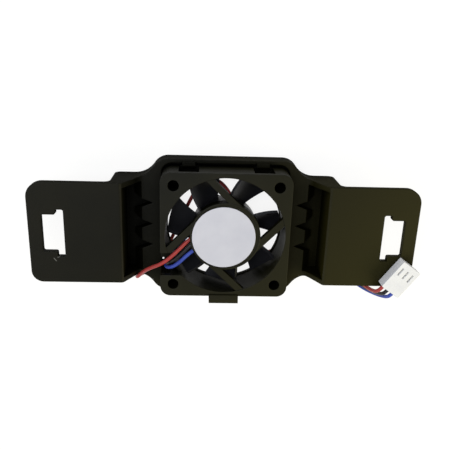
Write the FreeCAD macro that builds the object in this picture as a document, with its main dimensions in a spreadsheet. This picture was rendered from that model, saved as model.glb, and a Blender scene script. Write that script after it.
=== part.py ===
import FreeCAD, Part
import math
import os
import Sketcher

Vector = FreeCAD.Vector

# Server fan module: a 50 mm axial fan held in a moulded bracket with two mounting wings.
# It lies on its back. X runs along the wings, Y across them, Z out of the front.
# Z = 0 is the plane of the bracket's rear edges, and the fan's axis is X = Y = 0.

SIZES = [
    # bracket
    ("bracket_width", 150.0, "across both wings"),
    ("wing_height", 40.4, "wing, along Y"),
    ("wing_front", 19.0, "front face of the wings above the rear plane"),
    ("wing_thick", 2.5, "wing plate"),
    ("wing_radius_top", 6.0, "upper outer corners of a wing"),
    ("wing_radius_bottom", 4.5, "lower outer corners of a wing"),
    ("wall", 2.0, "flange and return walls"),
    ("collar_wall", 1.3, "thin wall above and below the fan"),
    ("collar_room", 2.5, "collar beyond the fan, above and below"),
    ("collar_radius", 6.5, "outer curve of the collar's shoulder"),
    ("shoulder_radius", 9.4, "inner curve of the shoulder"),
    ("shoulder_start", 1.3, "fan's side to where the shoulder's slope leaves the collar"),
    ("shoulder_run", 4.8, "shoulder's slope, along X"),
    ("flange_reach", 4.7, "deep flange behind the wing, past the return wall's inner face"),
    ("flange_radius", 2.4, "rear corners of the deep flange"),
    ("valley_width", 3.2, "valley floor, along X"),
    ("fold_radius", 1.5, "rounding where the wing turns back"),
    ("top_shift", 0.3, "top of that edge beyond the return wall's inner face"),
    ("foot_shift", 0.8, "foot of the flange's sloping edge beyond the side plates"),
    ("plate_front", 8.6, "front of the collar wall and of the side plates beside the fan"),
    ("plate_width", 8.0, "side plate, from the fan's side to its outer edge"),
    ("valley_slope", 3.2, "sloping skin, along X"),
    ("valley_front", 4.0, "floor of the valley inside the return wall"),
    ("skin", 1.6, "sloping skin and valley floor"),
    ("groove_pitch", 8.75, "spacing of the three wedge grooves of a side plate"),
    ("groove_shift", 1.1, "middle groove above the axis"),
    ("groove_start", 3.6, "fan's side to the pointed end of a groove"),
    ("groove_half", 4.3, "half the groove's mouth at the return wall"),
    ("bay_gap", 0.3, "fan to the bay's side walls"),
    ("bay_radius", 4.2, "corners of the fan bay"),
    ("seat_base", 3.0, "underside of the fan seat"),
    ("seat_thick", 2.0, "fan seat"),
    ("seat_rim", 2.0, "fan seat inside the fan's side"),
    ("slot_narrow", 3.0, "tall part of the slot, along X"),
    ("slot_wide", 5.5, "low part of the slot, along X"),
    ("slot_margin", 5.0, "keyed slot from the wing's end"),
    ("slot_tall", 19.0, "tall part of the slot, along Y"),
    ("slot_low", 15.0, "low part of the slot, along Y"),
    ("slot_radius", 0.7, "corners of the slot"),
    ("peg_diameter", 3.6, "locating pegs in the fan's holes"),
    ("peg_height", 6.5, "pegs above the seat"),
    ("hook_place", 14.5, "hooks from the middle"),
    ("hook_width", 5.0, "hook, along X"),
    ("hook_reach", 1.2, "hook over the fan's rear flange"),
    ("hook_clear", 0.1, "hook above the rear flange"),
    ("latch_width", 11.6, "latch arm, along X"),
    ("latch_thick", 1.9, "latch arm"),
    ("latch_slit", 0.8, "slits beside the latch arm"),
    ("latch_nose", 1.3, "height of the latch nose above the fan"),
    ("latch_bite", 0.6, "latch nose over the fan's front flange"),
    ("entry_gate", 29.2, "gap in the lower flange for the leads, middle from the axis"),
    ("exit_gate", 13.6, "gap in the return wall for the leads, middle below the axis"),
    ("gate_width", 6.4, "gaps that let the leads through the walls"),
    ("gate_height", 3.4, "height of those gaps"),
    ("channel_low", 16.3, "lead channel in the fan's corner, lower side"),
    ("channel_high", 7.0, "lead channel, upper side over the front flange"),
    ("channel_inner", 16.6, "lead channel, side towards the axis"),
    ("channel_depth", 4.6, "lead channel from the fan's front"),
    ("notch_high", 11.0, "lead notch through the rear flange and the seat, upper side"),
    ("notch_inner", 21.4, "lead notch in the rear flange, side towards the axis"),
    # fan frame
    ("fan_size", 50.0, "fan, along X and Y"),
    ("fan_depth", 15.0, "fan, along Z"),
    ("fan_radius", 4.0, "corners of the fan frame"),
    ("duct_margin", 1.7, "duct's bore inside the fan's side"),
    ("duct_wall", 1.1, "wall of the duct"),
    ("fan_flange", 2.0, "front and rear flange of the fan frame"),
    ("hole_margin", 5.0, "screw holes from the fan's sides"),
    ("hole_diameter", 4.3, "screw holes"),
    ("boss_diameter", 7.6, "boss round a screw hole"),
    ("post_width", 6.8, "corner post"),
    ("flat_width", 21.0, "flat pad on each side of the duct"),
    ("strut_inset", 0.65, "strut's outer edge inside the motor base's rim"),
    ("strut_width", 2.6, "strut"),
    ("strut_depth", 2.4, "strut, along Z"),
    ("strut_angle", 46.0, "normal of the first strut"),
    ("base_diameter", 27.3, "motor base"),
    ("base_plate", 1.2, "front plate of the motor base"),
    ("base_wall", 1.1, "rim of the motor base"),
    ("base_depth", 4.0, "motor base, along Z"),
    ("label_margin", 1.4, "label's edge inside the motor base's rim"),
    ("label_thick", 0.15, "round label"),
    ("label_x", -0.55, "label off the axis, along X"),
    ("label_y", -0.25, "label off the axis, along Y"),
    ("label_room", 0.75, "recess beyond the label's edge"),
    # motor
    ("holder_bore", 5.0, "bore of the bearing holder"),
    ("holder_wall", 0.8, "wall of the bearing holder"),
    ("holder_rear", 8.3, "rear end of the bearing holder"),
    ("bearing_width", 2.3, "ball bearing"),
    ("shaft_diameter", 2.0, "shaft and bearing bore"),
    ("ring_thick", 0.4, "inner and outer bearing rings"),
    ("ball_diameter", 0.94, "bearing balls"),
    ("running", 0.02, "running clearance of the balls"),
    ("board_thick", 0.8, "circuit board"),
    ("board_gap", 1.8, "board to the front plate"),
    ("board_bore_gap", 0.15, "board to the bearing holder"),
    ("board_rim_gap", 0.2, "board to the motor base's rim"),
    ("hall_inset", 0.55, "Hall sensor from the board's edge"),
    ("hall_length", 1.6, "Hall sensor, away from the edge"),
    ("hall_width", 3.0, "Hall sensor, along the edge"),
    ("hall_height", 0.7, "Hall sensor behind the board"),
    ("chip_shift", 0.825, "driver chip inwards from midway between holder and board's edge"),
    ("chip_length", 4.8, "driver chip, along X"),
    ("chip_width", 4.4, "driver chip, along Y"),
    ("chip_height", 0.8, "driver chip and capacitor in front of the board"),
    ("capacitor_inset", 2.35, "capacitor from the board's edge"),
    ("capacitor_length", 3.2, "capacitor, away from the edge"),
    ("capacitor_width", 2.0, "capacitor, along the edge"),
    ("resistor_inset", 4.75, "resistor from the board's upper edge"),
    ("resistor_length", 2.0, "resistor, along X"),
    ("resistor_width", 1.2, "resistor, along Y"),
    ("resistor_height", 0.5, "resistor in front of the board"),
    ("resistor_x", 3.8, "middle of the resistor from the axis"),
    ("pad_radius", 0.7, "solder joint"),
    ("pad_height", 0.9, "solder joint, along Z"),
    ("pin_reach", 2.9, "winding pins from the axis, along X and Y"),
    ("pin_width", 0.5, "winding pin"),
    ("core_rear", 10.2, "rear face of the stator core"),
    ("core_thick", 3.8, "stator core"),
    ("core_diameter", 19.2, "stator core across the pole faces"),
    ("arm_width", 2.6, "stator arm"),
    ("pole_gap", 2.4, "gap between two pole faces"),
    ("insulator_thick", 0.7, "insulator"),
    ("winding", 1.1, "build-up of a winding"),
    ("air_gap", 0.4, "stator to magnet"),
    ("magnet_thick", 1.2, "ring magnet"),
    ("yoke_thick", 0.7, "steel yoke"),
    ("rotor_front", 15.2, "front end of the rotor's cylinder"),
    ("rotor_gap", 0.4, "hub cap in front of the seat plane"),
    ("hub_wall", 1.1, "wall of the impeller's hub"),
    ("blade_count", 7, "blades"),
    ("blade_tip_gap", 0.9, "blade tips to the duct"),
    ("blade_rear", 6.6, "leading edges above the rear plane"),
    ("blade_front", 15.4, "trailing edges above the rear plane"),
    ("blade_thick", 0.9, "blade"),
    ("blade_half", 16.7, "half the angle that a blade covers"),
    ("blade_sweep", 12.0, "turn of a blade from root to tip"),
    ("blade_phase", -20.0, "turn of the whole impeller about the axis"),
    ("bush_diameter", 4.6, "bush between shaft and yoke"),
    ("spring_wire", 0.25, "preload spring wire"),
    ("clip_thick", 0.25, "shaft clip"),
    ("clip_diameter", 3.6, "shaft clip"),
    # leads and connector
    ("lead_diameter", 1.5, "lead over its insulation"),
    ("plug_length", 13.0, "connector housing, along the leads"),
    ("plug_width", 8.6, "connector housing, across the leads"),
    ("plug_thick", 4.8, "connector housing"),
    ("plug_angle", 54.0, "lie of the housing on the wing"),
    ("plug_x", 69.4, "middle of the housing, X"),
    ("plug_y", -15.3, "middle of the housing, Y"),
    ("plug_pitch", 2.54, "contact spacing"),
    ("plug_window", 3.4, "latch windows of the housing"),
]

# Sizes that follow from the ones above.
DERIVED = [
    ("collar_height", "fan_size + 2 * collar_room", "collar, along Y"),
    ("shoulder_in", "fan_size / 2 + shoulder_start", "where the shoulder's slope leaves the collar"),
    ("shoulder_out", "shoulder_in + shoulder_run", "where the shoulder's slope meets the flange"),
    ("plate_edge", "fan_size / 2 + plate_width", "outer edge of the side plates"),
    ("valley_edge", "plate_edge + valley_slope", "foot of the sloping skin"),
    ("fold", "valley_edge + valley_width", "inner face of the return wall"),
    ("slope_foot", "plate_edge + foot_shift", "where the sloping edge meets the level of the side plates"),
    ("slope_top", "fold + top_shift", "where the flange's sloping edge starts at the wing face"),
    ("flange_end", "fold + flange_reach", "end of the deep flange behind the wing"),
    ("groove_tip", "fan_size / 2 + groove_start", "pointed end of a groove from the axis"),
    ("seat_bore", "fan_size - 2 * seat_rim", "air opening of the seat"),
    ("duct_bore", "fan_size - 2 * duct_margin", "bore of the duct"),
    ("hole_pitch", "fan_size - 2 * hole_margin", "spacing of the screw holes"),
    ("strut_offset", "base_diameter / 2 - strut_inset", "outer edge of a strut from the axis"),
    ("label_diameter", "base_diameter - 2 * label_margin", "round label"),
    ("slot_outer", "bracket_width / 2 - slot_margin", "outer edge of the keyed slot"),
    ("slot_step", "slot_outer - slot_wide", "step of the keyed slot"),
    ("slot_inner", "slot_step - slot_narrow", "inner edge of the keyed slot"),
]

# Heights and half sizes that several pieces share.
SEAT = "(sizes.seat_base + sizes.seat_thick)"
FAN_FRONT = f"({SEAT} + sizes.fan_depth)"
FAN_HALF = "(sizes.fan_size / 2)"
WING_HALF = "(sizes.wing_height / 2)"
WING_BACK = "(sizes.wing_front - sizes.wing_thick)"
WING_END = "(sizes.bracket_width / 2)"
COLLAR_HALF = "(sizes.collar_height / 2)"
DUCT_INNER = "(sizes.duct_bore / 2)"
DUCT_OUTER = f"({DUCT_INNER} + sizes.duct_wall)"
BASE_REAR = f"({FAN_FRONT} - sizes.base_depth)"
PLATE_REAR = f"({FAN_FRONT} - sizes.base_plate)"
BOARD_FRONT = f"({PLATE_REAR} - sizes.board_gap)"
BOARD_REAR = f"({BOARD_FRONT} - sizes.board_thick)"
HOLDER_INNER = "(sizes.holder_bore / 2)"
HOLDER_OUTER = f"({HOLDER_INNER} + sizes.holder_wall)"
SHAFT_RADIUS = "(sizes.shaft_diameter / 2)"
RACE_RADIUS = f"(({SHAFT_RADIUS} + {HOLDER_INNER}) / 2)"
CORE_RADIUS = "(sizes.core_diameter / 2)"
CORE_FRONT = "(sizes.core_rear + sizes.core_thick)"
MAGNET_INNER = f"({CORE_RADIUS} + sizes.air_gap)"
YOKE_INNER = f"({MAGNET_INNER} + sizes.magnet_thick)"
HUB_INNER = f"({YOKE_INNER} + sizes.yoke_thick)"
HUB_OUTER = f"({HUB_INNER} + sizes.hub_wall)"
HUB_REAR = f"({SEAT} + sizes.rotor_gap)"
YOKE_REAR = f"({HUB_REAR} + sizes.hub_wall)"
YOKE_FLOOR = f"({YOKE_REAR} + sizes.yoke_thick)"
REAR_BEARING = f"(sizes.holder_rear + 0.2)"
FRONT_BEARING = f"({PLATE_REAR} - 0.6 - sizes.bearing_width)"

doc = FreeCAD.newDocument("ServerFanModule")


def fill_sheet():
    sheet = doc.addObject("Spreadsheet::Sheet", "sizes")
    formulas = [(alias, f"={formula}", note) for alias, formula, note in DERIVED]
    for row, (alias, content, note) in enumerate(SIZES + formulas, 1):
        sheet.set(f"A{row}", note)
        sheet.set(f"B{row}", str(content))
        sheet.setAlias(f"B{row}", alias)
    doc.recompute()
    return sheet


sheet = fill_sheet()


def size(expression):
    """Present value of an expression over the sheet."""
    return float(probe.evalExpression(expression))


probe = doc.addObject("App::FeaturePython", "probe")


def bind(target, **expressions):
    for name, expression in expressions.items():
        target.setExpression(name, expression)
    return target


def place(target, x="0", y="0", z="0"):
    for axis, expression in zip("xyz", (x, y, z)):
        target.setExpression(f"Placement.Base.{axis}", expression)
    return target


def box(name, x, y, z):
    """Box between pairs of expressions along each axis."""
    solid = doc.addObject("Part::Box", name)
    bind(solid, Length=f"{x[1]} - ({x[0]})", Width=f"{y[1]} - ({y[0]})", Height=f"{z[1]} - ({z[0]})")
    return place(solid, x[0], y[0], z[0])


def cylinder(name, radius, z, x="0", y="0"):
    solid = doc.addObject("Part::Cylinder", name)
    bind(solid, Radius=radius, Height=f"{z[1]} - ({z[0]})")
    return place(solid, x, y, z[0])


def fuse(name, solids):
    joined = doc.addObject("Part::MultiFuse", name)
    joined.Shapes = solids
    joined.Refine = True
    return joined


def cut(name, base, tools):
    left = doc.addObject("Part::Cut", name)
    left.Base = base
    left.Tool = tools[0] if len(tools) == 1 else fuse(name + "_tools", tools)
    left.Refine = True
    return left


def common(name, solids):
    shared = doc.addObject("Part::MultiCommon", name)
    shared.Shapes = solids
    shared.Refine = True
    return shared


def group(name, solids):
    """Separate solids of one node."""
    compound = doc.addObject("Part::Compound", name)
    compound.Links = solids
    return compound


def new_body(name):
    return doc.addObject("PartDesign::Body", name)


def new_sketch(body, name, plane, offset=None):
    sketch = body.newObject("Sketcher::SketchObject", name)
    support = [feature for feature in body.Origin.OriginFeatures if feature.Role == plane][0]
    sketch.AttachmentSupport = [(support, "")]
    sketch.MapMode = "FlatFace"
    if offset:
        sketch.setExpression("AttachmentOffset.Base.z", offset)
    doc.recompute()
    return sketch


def fix_point(sketch, item, end, x, y):
    """Hold a point of the sketch at two expressions."""
    for kind, expression in (("DistanceX", x), ("DistanceY", y)):
        number = sketch.addConstraint(Sketcher.Constraint(kind, item, end, size(expression)))
        sketch.setExpression(f"Constraints[{number}]", expression)


def fix_radius(sketch, item, expression):
    number = sketch.addConstraint(Sketcher.Constraint("Radius", item, size(expression)))
    sketch.setExpression(f"Constraints[{number}]", expression)


def draw_circle(sketch, radius, x="0", y="0"):
    circle = sketch.addGeometry(Part.Circle(Vector(size(x), size(y), 0), Vector(0, 0, 1), size(radius)))
    fix_point(sketch, circle, 3, x, y)
    fix_radius(sketch, circle, radius)


def draw_outline(sketch, corners):
    """Closed outline through corners (x, y) or (x, y, radius), all expressions."""
    points = [Vector(size(corner[0]), size(corner[1]), 0) for corner in corners]
    count = len(points)
    entries, exits, centres = [], [], []
    for i, point in enumerate(points):
        back = (points[i - 1] - point).normalize()
        ahead = (points[(i + 1) % count] - point).normalize()
        half = back.getAngle(ahead) / 2
        radius = size(corners[i][2]) if len(corners[i]) > 2 else 0.0
        reach = radius / math.tan(half)
        entries.append(point + back * reach)
        exits.append(point + ahead * reach)
        centres.append(point + (back + ahead).normalize() * (radius / math.sin(half)))
    lines = [
        sketch.addGeometry(Part.LineSegment(exits[i], entries[(i + 1) % count])) for i in range(count)
    ]
    for i, point in enumerate(points):
        mark = sketch.addGeometry(Part.Point(point), True)
        fix_point(sketch, mark, 1, corners[i][0], corners[i][1])
        before, after = lines[i - 1], lines[i]
        if len(corners[i]) == 2:
            sketch.addConstraint([
                Sketcher.Constraint("Coincident", before, 2, mark, 1),
                Sketcher.Constraint("Coincident", after, 1, mark, 1),
            ])
            continue
        round_corner(sketch, mark, before, after, entries[i], exits[i], centres[i], corners[i][2])


def round_corner(sketch, mark, before, after, entry, leave, centre, radius):
    turn = (entry - centre).cross(leave - centre).z
    first, last = (entry, leave) if turn > 0 else (leave, entry)
    start = math.atan2(first.y - centre.y, first.x - centre.x)
    stop = math.atan2(last.y - centre.y, last.x - centre.x)
    circle = Part.Circle(centre, Vector(0, 0, 1), size(radius))
    arc = sketch.addGeometry(Part.ArcOfCircle(circle, start, stop))
    entry_end, leave_end = (1, 2) if turn > 0 else (2, 1)
    sketch.addConstraint([
        Sketcher.Constraint("PointOnObject", mark, 1, before),
        Sketcher.Constraint("PointOnObject", mark, 1, after),
        Sketcher.Constraint("Tangent", before, 2, arc, entry_end),
        Sketcher.Constraint("Tangent", arc, leave_end, after, 1),
    ])
    fix_radius(sketch, arc, radius)


def padded(name, plane, corners, length, symmetric=False, offset=None, holes=()):
    """Body with one outline padded along its plane's normal."""
    body = new_body(name)
    sketch = new_sketch(body, name + "_outline", plane, offset)
    draw_outline(sketch, corners)
    for radius, x, y in holes:
        draw_circle(sketch, radius, x, y)
    pad = body.newObject("PartDesign::Pad", name + "_pad")
    pad.Profile = sketch
    if symmetric:
        pad.SideType = "Symmetric"
    pad.setExpression("Length", length)
    return body


def turned(name, corners):
    """Body with a closed profile of (radius, height) corners turned about Z."""
    body = new_body(name)
    sketch = new_sketch(body, name + "_profile", "XZ_Plane")
    draw_outline(sketch, corners)
    revolution = body.newObject("PartDesign::Revolution", name + "_turn")
    revolution.Profile = sketch
    revolution.ReferenceAxis = (sketch, ["V_Axis"])
    revolution.Angle = 360
    return body


def tube_profile(inner, outer, low, high):
    return [(inner, low), (outer, low), (outer, high), (inner, high)]


def minus(expression):
    return f"-({expression})"


def both_sides(corners):
    """Right half of an outline, given counter-clockwise from its bottom, closed by its mirror image."""
    mirrored = [(minus(corner[0]),) + tuple(corner[1:]) for corner in reversed(corners)]
    return list(corners) + mirrored


# bracket


def plan_half(inset, top_radius, bottom_radius, end):
    """Right half of the bracket seen from the front, moved inwards by a wall."""
    wing = f"({WING_HALF} - {inset})"
    collar = f"({COLLAR_HALF} - {inset})"
    slope = f"({inset} * 0.55)"
    convex = f"(sizes.collar_radius - {inset})"
    concave = f"(sizes.shoulder_radius + {inset} * 0.9)"
    return [
        (f"sizes.shoulder_in - {slope}", minus(collar), convex),
        (f"sizes.shoulder_out - {slope}", minus(wing), concave),
        (end, minus(wing)) + bottom_radius,
        (end, wing) + top_radius,
        (f"sizes.shoulder_out - {slope}", wing, concave),
        (f"sizes.shoulder_in - {slope}", collar, convex),
    ]


def make_bracket_block():
    """Side profile and front outline of the moulding, crossed."""
    side = both_sides([
        ("sizes.flange_end", "0", "sizes.flange_radius"),
        ("sizes.flange_end", WING_BACK, "sizes.flange_radius"),
        (WING_END, WING_BACK),
        (WING_END, "sizes.wing_front"),
        ("sizes.slope_top", "sizes.wing_front", "1.5"),
        ("sizes.slope_foot", "sizes.plate_front", "3"),
    ])
    side_block = padded("bracket_side", "XZ_Plane", side, "sizes.collar_height", symmetric=True)
    plan = plan_half("0", ("sizes.wing_radius_top",), ("sizes.wing_radius_bottom",), WING_END)
    plan_block = padded("bracket_plan", "XY_Plane", both_sides(plan), "sizes.wing_front")
    return common("bracket_block", [side_block, plan_block])


def make_front_hollows():
    """Valleys between the side plates and the return walls, open to the front."""
    above = "sizes.wing_front + 5"
    slope_x = "(sizes.valley_edge - sizes.plate_edge)"
    slope_z = "(sizes.plate_front - sizes.valley_front)"
    valley = [
        ("sizes.valley_edge", "sizes.valley_front", "1"),
        ("sizes.fold", "sizes.valley_front"),
        ("sizes.fold", above),
        (f"sizes.plate_edge - {slope_x} * 0.2", above),
        (f"sizes.plate_edge - {slope_x} * 0.2", f"sizes.plate_front + {slope_z} * 0.2"),
    ]
    other = [(minus(corner[0]),) + corner[1:] for corner in reversed(valley)]
    right = padded("valley_right", "XZ_Plane", valley, "sizes.collar_height", symmetric=True)
    left = padded("valley_left", "XZ_Plane", other, "sizes.collar_height", symmetric=True)
    inside = plan_half("sizes.wall", (), (), "sizes.fold + 1")
    room = padded("valley_room", "XY_Plane", both_sides(inside), "sizes.wing_front + 6")
    grooves = make_grooves("groove", "0", "sizes.valley_front")
    return common("front_hollows", [fuse("valleys", [right, left] + grooves), room])


def make_grooves(name, skin, low):
    """Three wedges on each side, pointed at the fan, grown by a skin on every face."""
    half = f"(sizes.groove_half + {skin})"
    tip = f"(sizes.groove_tip - {skin} * 2)"
    wedges = []
    for side, sign in (("right", ""), ("left", "-")):
        for number in (-1, 0, 1):
            middle = f"({number} * sizes.groove_pitch + sizes.groove_shift)"
            corners = [(f"{sign}{tip}", middle), (f"{sign}sizes.fold", f"{middle} - {half}"),
                       (f"{sign}sizes.fold", f"{middle} + {half}")]
            if sign:
                corners.reverse()
            wedges.append(padded(f"{name}_{side}_{number + 2}", "XY_Plane", corners,
                                 f"sizes.plate_front + 1 - {low}", offset=low))
    return wedges


def make_rear_hollow():
    """Room under the seat and the sloping skins, open to the rear."""
    ceiling = "(sizes.plate_front - sizes.skin)"
    floor = "(sizes.valley_front - sizes.skin)"
    profile = both_sides([
        ("sizes.fold", "-1"),
        ("sizes.fold", floor),
        ("sizes.valley_edge - sizes.skin * 0.45", floor),
        ("sizes.plate_edge - sizes.skin * 0.45", ceiling),
        (f"{FAN_HALF} + sizes.bay_gap + sizes.wall", ceiling),
        (f"{FAN_HALF} + sizes.bay_gap + sizes.wall", "sizes.seat_base"),
    ])
    under = padded("rear_profile", "XZ_Plane", profile, "sizes.collar_height", symmetric=True)
    inside = plan_half("sizes.wall", (), (), "sizes.fold + 1")
    room = padded("rear_room", "XY_Plane", both_sides(inside), "sizes.wing_front + 2", offset="-1")
    hollow = common("rear_space", [under, room])
    return cut("rear_hollow", hollow, make_grooves("groove_skin", "sizes.skin", floor))


def make_wing_back():
    """Open space behind each wing, between the flanges and outside the return wall."""
    cuts = []
    inner = f"{WING_HALF} - sizes.wall"
    for name, low, high in (
        ("behind_right_wing", "sizes.fold + sizes.wall", "sizes.flange_end + 1"),
        ("behind_left_wing", "-(sizes.flange_end + 1)", "-(sizes.fold + sizes.wall)"),
    ):
        cuts.append(box(name, (low, high), (minus(inner), inner), ("-1", WING_BACK)))
    return cuts


def make_bay():
    """Room for the fan above its seat."""
    half_x = f"({FAN_HALF} + sizes.bay_gap)"
    half_y = f"({COLLAR_HALF} - sizes.collar_wall)"
    radius = "sizes.bay_radius"
    corners = both_sides([(half_x, minus(half_y), radius), (half_x, half_y, radius)])
    bay = padded("fan_bay", "XY_Plane", corners, FAN_FRONT, offset=SEAT)
    air = cylinder("air_opening", "sizes.seat_bore / 2", ("-1", f"{SEAT} + 1"))
    return [bay, air]


def make_slots():
    """Keyed slot through each wing."""
    tall = "sizes.slot_tall / 2"
    low = "sizes.slot_low / 2"
    radius = "sizes.slot_radius"
    right = [
        ("sizes.slot_inner", minus(tall), radius),
        ("sizes.slot_step", minus(tall)),
        ("sizes.slot_step", minus(low), radius),
        ("sizes.slot_outer", minus(low), radius),
        ("sizes.slot_outer", low, radius),
        ("sizes.slot_step", low, radius),
        ("sizes.slot_step", tall),
        ("sizes.slot_inner", tall, radius),
    ]
    left = [(minus(corner[0]),) + corner[1:] for corner in reversed(right)]
    depth = "sizes.wing_thick + 2"
    start = f"{WING_BACK} - 1"
    return [
        padded("slot_right", "XY_Plane", right, depth, offset=start),
        padded("slot_left", "XY_Plane", left, depth, offset=start),
    ]


def make_lead_gates():
    """Gaps in the rear edges and in the seat that let the leads pass."""
    half = "sizes.gate_width / 2"
    entry = box("lead_entry", (f"-sizes.entry_gate - {half}", f"-sizes.entry_gate + {half}"),
                (minus(COLLAR_HALF), minus(f"{WING_HALF} - sizes.wall - 0.1")), ("-1", "sizes.gate_height"))
    leave = box("lead_exit", ("sizes.fold - 1", "sizes.fold + sizes.wall + 1"),
                (f"-sizes.exit_gate - {half}", f"-sizes.exit_gate + {half}"),
                ("-1", "sizes.valley_front - sizes.skin"))
    seat = box("seat_gate", (minus(f"{FAN_HALF} + sizes.bay_gap"), minus("sizes.channel_inner")),
               (minus("sizes.channel_low"), "-sizes.notch_high + 2"), ("sizes.seat_base - 1", f"{SEAT} + 1"))
    return [entry, leave, seat]


def make_pegs():
    pegs = []
    reach = "sizes.hole_pitch / 2"
    for number, (x, y) in enumerate(((1, 1), (-1, 1), (-1, -1), (1, -1)), 1):
        peg = doc.addObject("Part::Cone", f"peg_{number}")
        bind(peg, Radius1="sizes.peg_diameter / 2", Radius2="sizes.peg_diameter / 2 - 0.5",
             Height="sizes.peg_height + sizes.seat_thick / 2")
        place(peg, f"{x} * {reach}", f"{y} * {reach}", f"{SEAT} - sizes.seat_thick / 2")
        pegs.append(peg)
    return pegs


def make_hooks():
    """Two hooks that reach from the upper collar wall over the fan's rear flange."""
    hooks = []
    under = f"({SEAT} + sizes.fan_flange + sizes.hook_clear)"
    tip = f"({FAN_HALF} - sizes.hook_reach)"
    root = f"({COLLAR_HALF} - sizes.collar_wall / 2)"
    profile = [(tip, under), (root, under), (root, f"{under} + 2.2"), (f"{tip} + 1.3", f"{under} + 2.2"),
               (tip, f"{under} + 0.9")]
    for name, sign in (("hook_left", "-1"), ("hook_right", "1")):
        hook = padded(name, "YZ_Plane", profile, "sizes.hook_width", symmetric=True)
        hooks.append(place(hook, x=f"{sign} * sizes.hook_place"))
    return hooks


def make_latch():
    """Springy arm below the fan whose nose holds the fan's front flange."""
    outer = minus(COLLAR_HALF)
    inner = f"(-{COLLAR_HALF} + sizes.latch_thick)"
    nose = f"({FAN_FRONT} + 0.05)"
    bite = f"(-{FAN_HALF} + sizes.latch_bite)"
    profile = [
        (outer, "sizes.seat_base"),
        (inner, "sizes.seat_base"),
        (inner, nose),
        (bite, nose),
        (bite, f"{nose} + 0.4"),
        (f"{inner} - 0.4", f"{nose} + sizes.latch_nose"),
        (outer, f"{nose} + sizes.latch_nose"),
    ]
    return padded("latch_arm", "YZ_Plane", list(reversed(profile)), "sizes.latch_width", symmetric=True)


def make_latch_slits():
    half = "sizes.latch_width / 2"
    slits = []
    for name, low, high in (
        ("slit_right", half, f"{half} + sizes.latch_slit"),
        ("slit_left", f"-{half} - sizes.latch_slit", f"-{half}"),
    ):
        slits.append(box(name, (low, high), (minus("sizes.collar_height"), f"-{COLLAR_HALF} + 3"),
                         (SEAT, "sizes.wing_front")))
    return slits


def make_bracket():
    hollows = [make_front_hollows(), make_rear_hollow()] + make_wing_back() + make_bay()
    shell = cut("bracket_shell", make_bracket_block(), hollows)
    joined = fuse("bracket_with_pegs", [shell] + make_pegs() + make_hooks())
    opened = cut("bracket_opened", joined, make_slots() + make_lead_gates() + make_latch_slits())
    return fuse("bracket", [opened, make_latch()])


# fan frame


def make_core_section():
    """Duct, flat pads, corner posts and screw bosses over the full depth."""
    depth = (SEAT, FAN_FRONT)
    half = "sizes.fan_size / 2"
    flat = "sizes.flat_width / 2"
    reach = "sizes.hole_pitch / 2"
    parts = [
        cylinder("duct_tube", DUCT_OUTER, depth),
        box("flats_x", (minus(half), half), (minus(flat), flat), depth),
        box("flats_y", (minus(flat), flat), (minus(half), half), depth),
    ]
    for number, (x, y) in enumerate(((1, 1), (-1, 1), (-1, -1), (1, -1)), 1):
        near = f"({half} - sizes.post_width)"
        spans = [(near, half) if sign > 0 else (minus(half), minus(near)) for sign in (x, y)]
        parts.append(box(f"post_{number}", spans[0], spans[1], depth))
        parts.append(cylinder(f"boss_{number}", "sizes.boss_diameter / 2", depth,
                              f"{x} * {reach}", f"{y} * {reach}"))
    return fuse("duct_core", parts)


def make_fan_square(name, low, high):
    half = "(sizes.fan_size / 2)"
    corners = both_sides([(half, minus(half), "sizes.fan_radius"), (half, half, "sizes.fan_radius")])
    return padded(name, "XY_Plane", corners, f"{high} - ({low})", offset=low)


def make_struts():
    """Four straight struts, each tangent to the motor base."""
    struts = []
    inner = "(sizes.strut_offset - sizes.strut_width)"
    for number in range(4):
        strut = box(f"strut_{number + 1}", (inner, "sizes.strut_offset"), ("0", "sizes.fan_size / 2"),
                    ("0", "sizes.strut_depth"))
        turn = f"(sizes.strut_angle - {90 * number})"
        strut.setExpression("Placement.Rotation.Angle", turn)
        place(strut, f"{inner} * cos({turn} * 1 deg)", f"{inner} * sin({turn} * 1 deg)",
              f"{FAN_FRONT} - sizes.strut_depth - 0.2")
        struts.append(strut)
    inside = "sizes.base_diameter / 2 - sizes.base_wall / 2"
    outside = f"{DUCT_INNER} + sizes.duct_wall / 2"
    reach = turned("strut_reach", tube_profile(inside, outside, SEAT, FAN_FRONT))
    return common("strut_cross", [fuse("struts", struts), reach])


def make_motor_base():
    """Shallow cup in front of the motor, with a recess for the label and a boss for the bearing holder."""
    rim = "(sizes.base_diameter / 2)"
    recess = "(sizes.label_diameter / 2 + sizes.label_room)"
    boss = f"({HOLDER_OUTER} + 1)"
    return turned("motor_base", [
        (HOLDER_OUTER, f"{PLATE_REAR} - 0.8"),
        (boss, f"{PLATE_REAR} - 0.8"),
        (boss, PLATE_REAR),
        (f"{rim} - sizes.base_wall", PLATE_REAR),
        (f"{rim} - sizes.base_wall", BASE_REAR),
        (rim, BASE_REAR),
        (rim, FAN_FRONT, "0.3"),
        (recess, FAN_FRONT),
        (recess, f"{FAN_FRONT} - sizes.label_thick"),
        (HOLDER_OUTER, f"{FAN_FRONT} - sizes.label_thick"),
    ])


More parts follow.
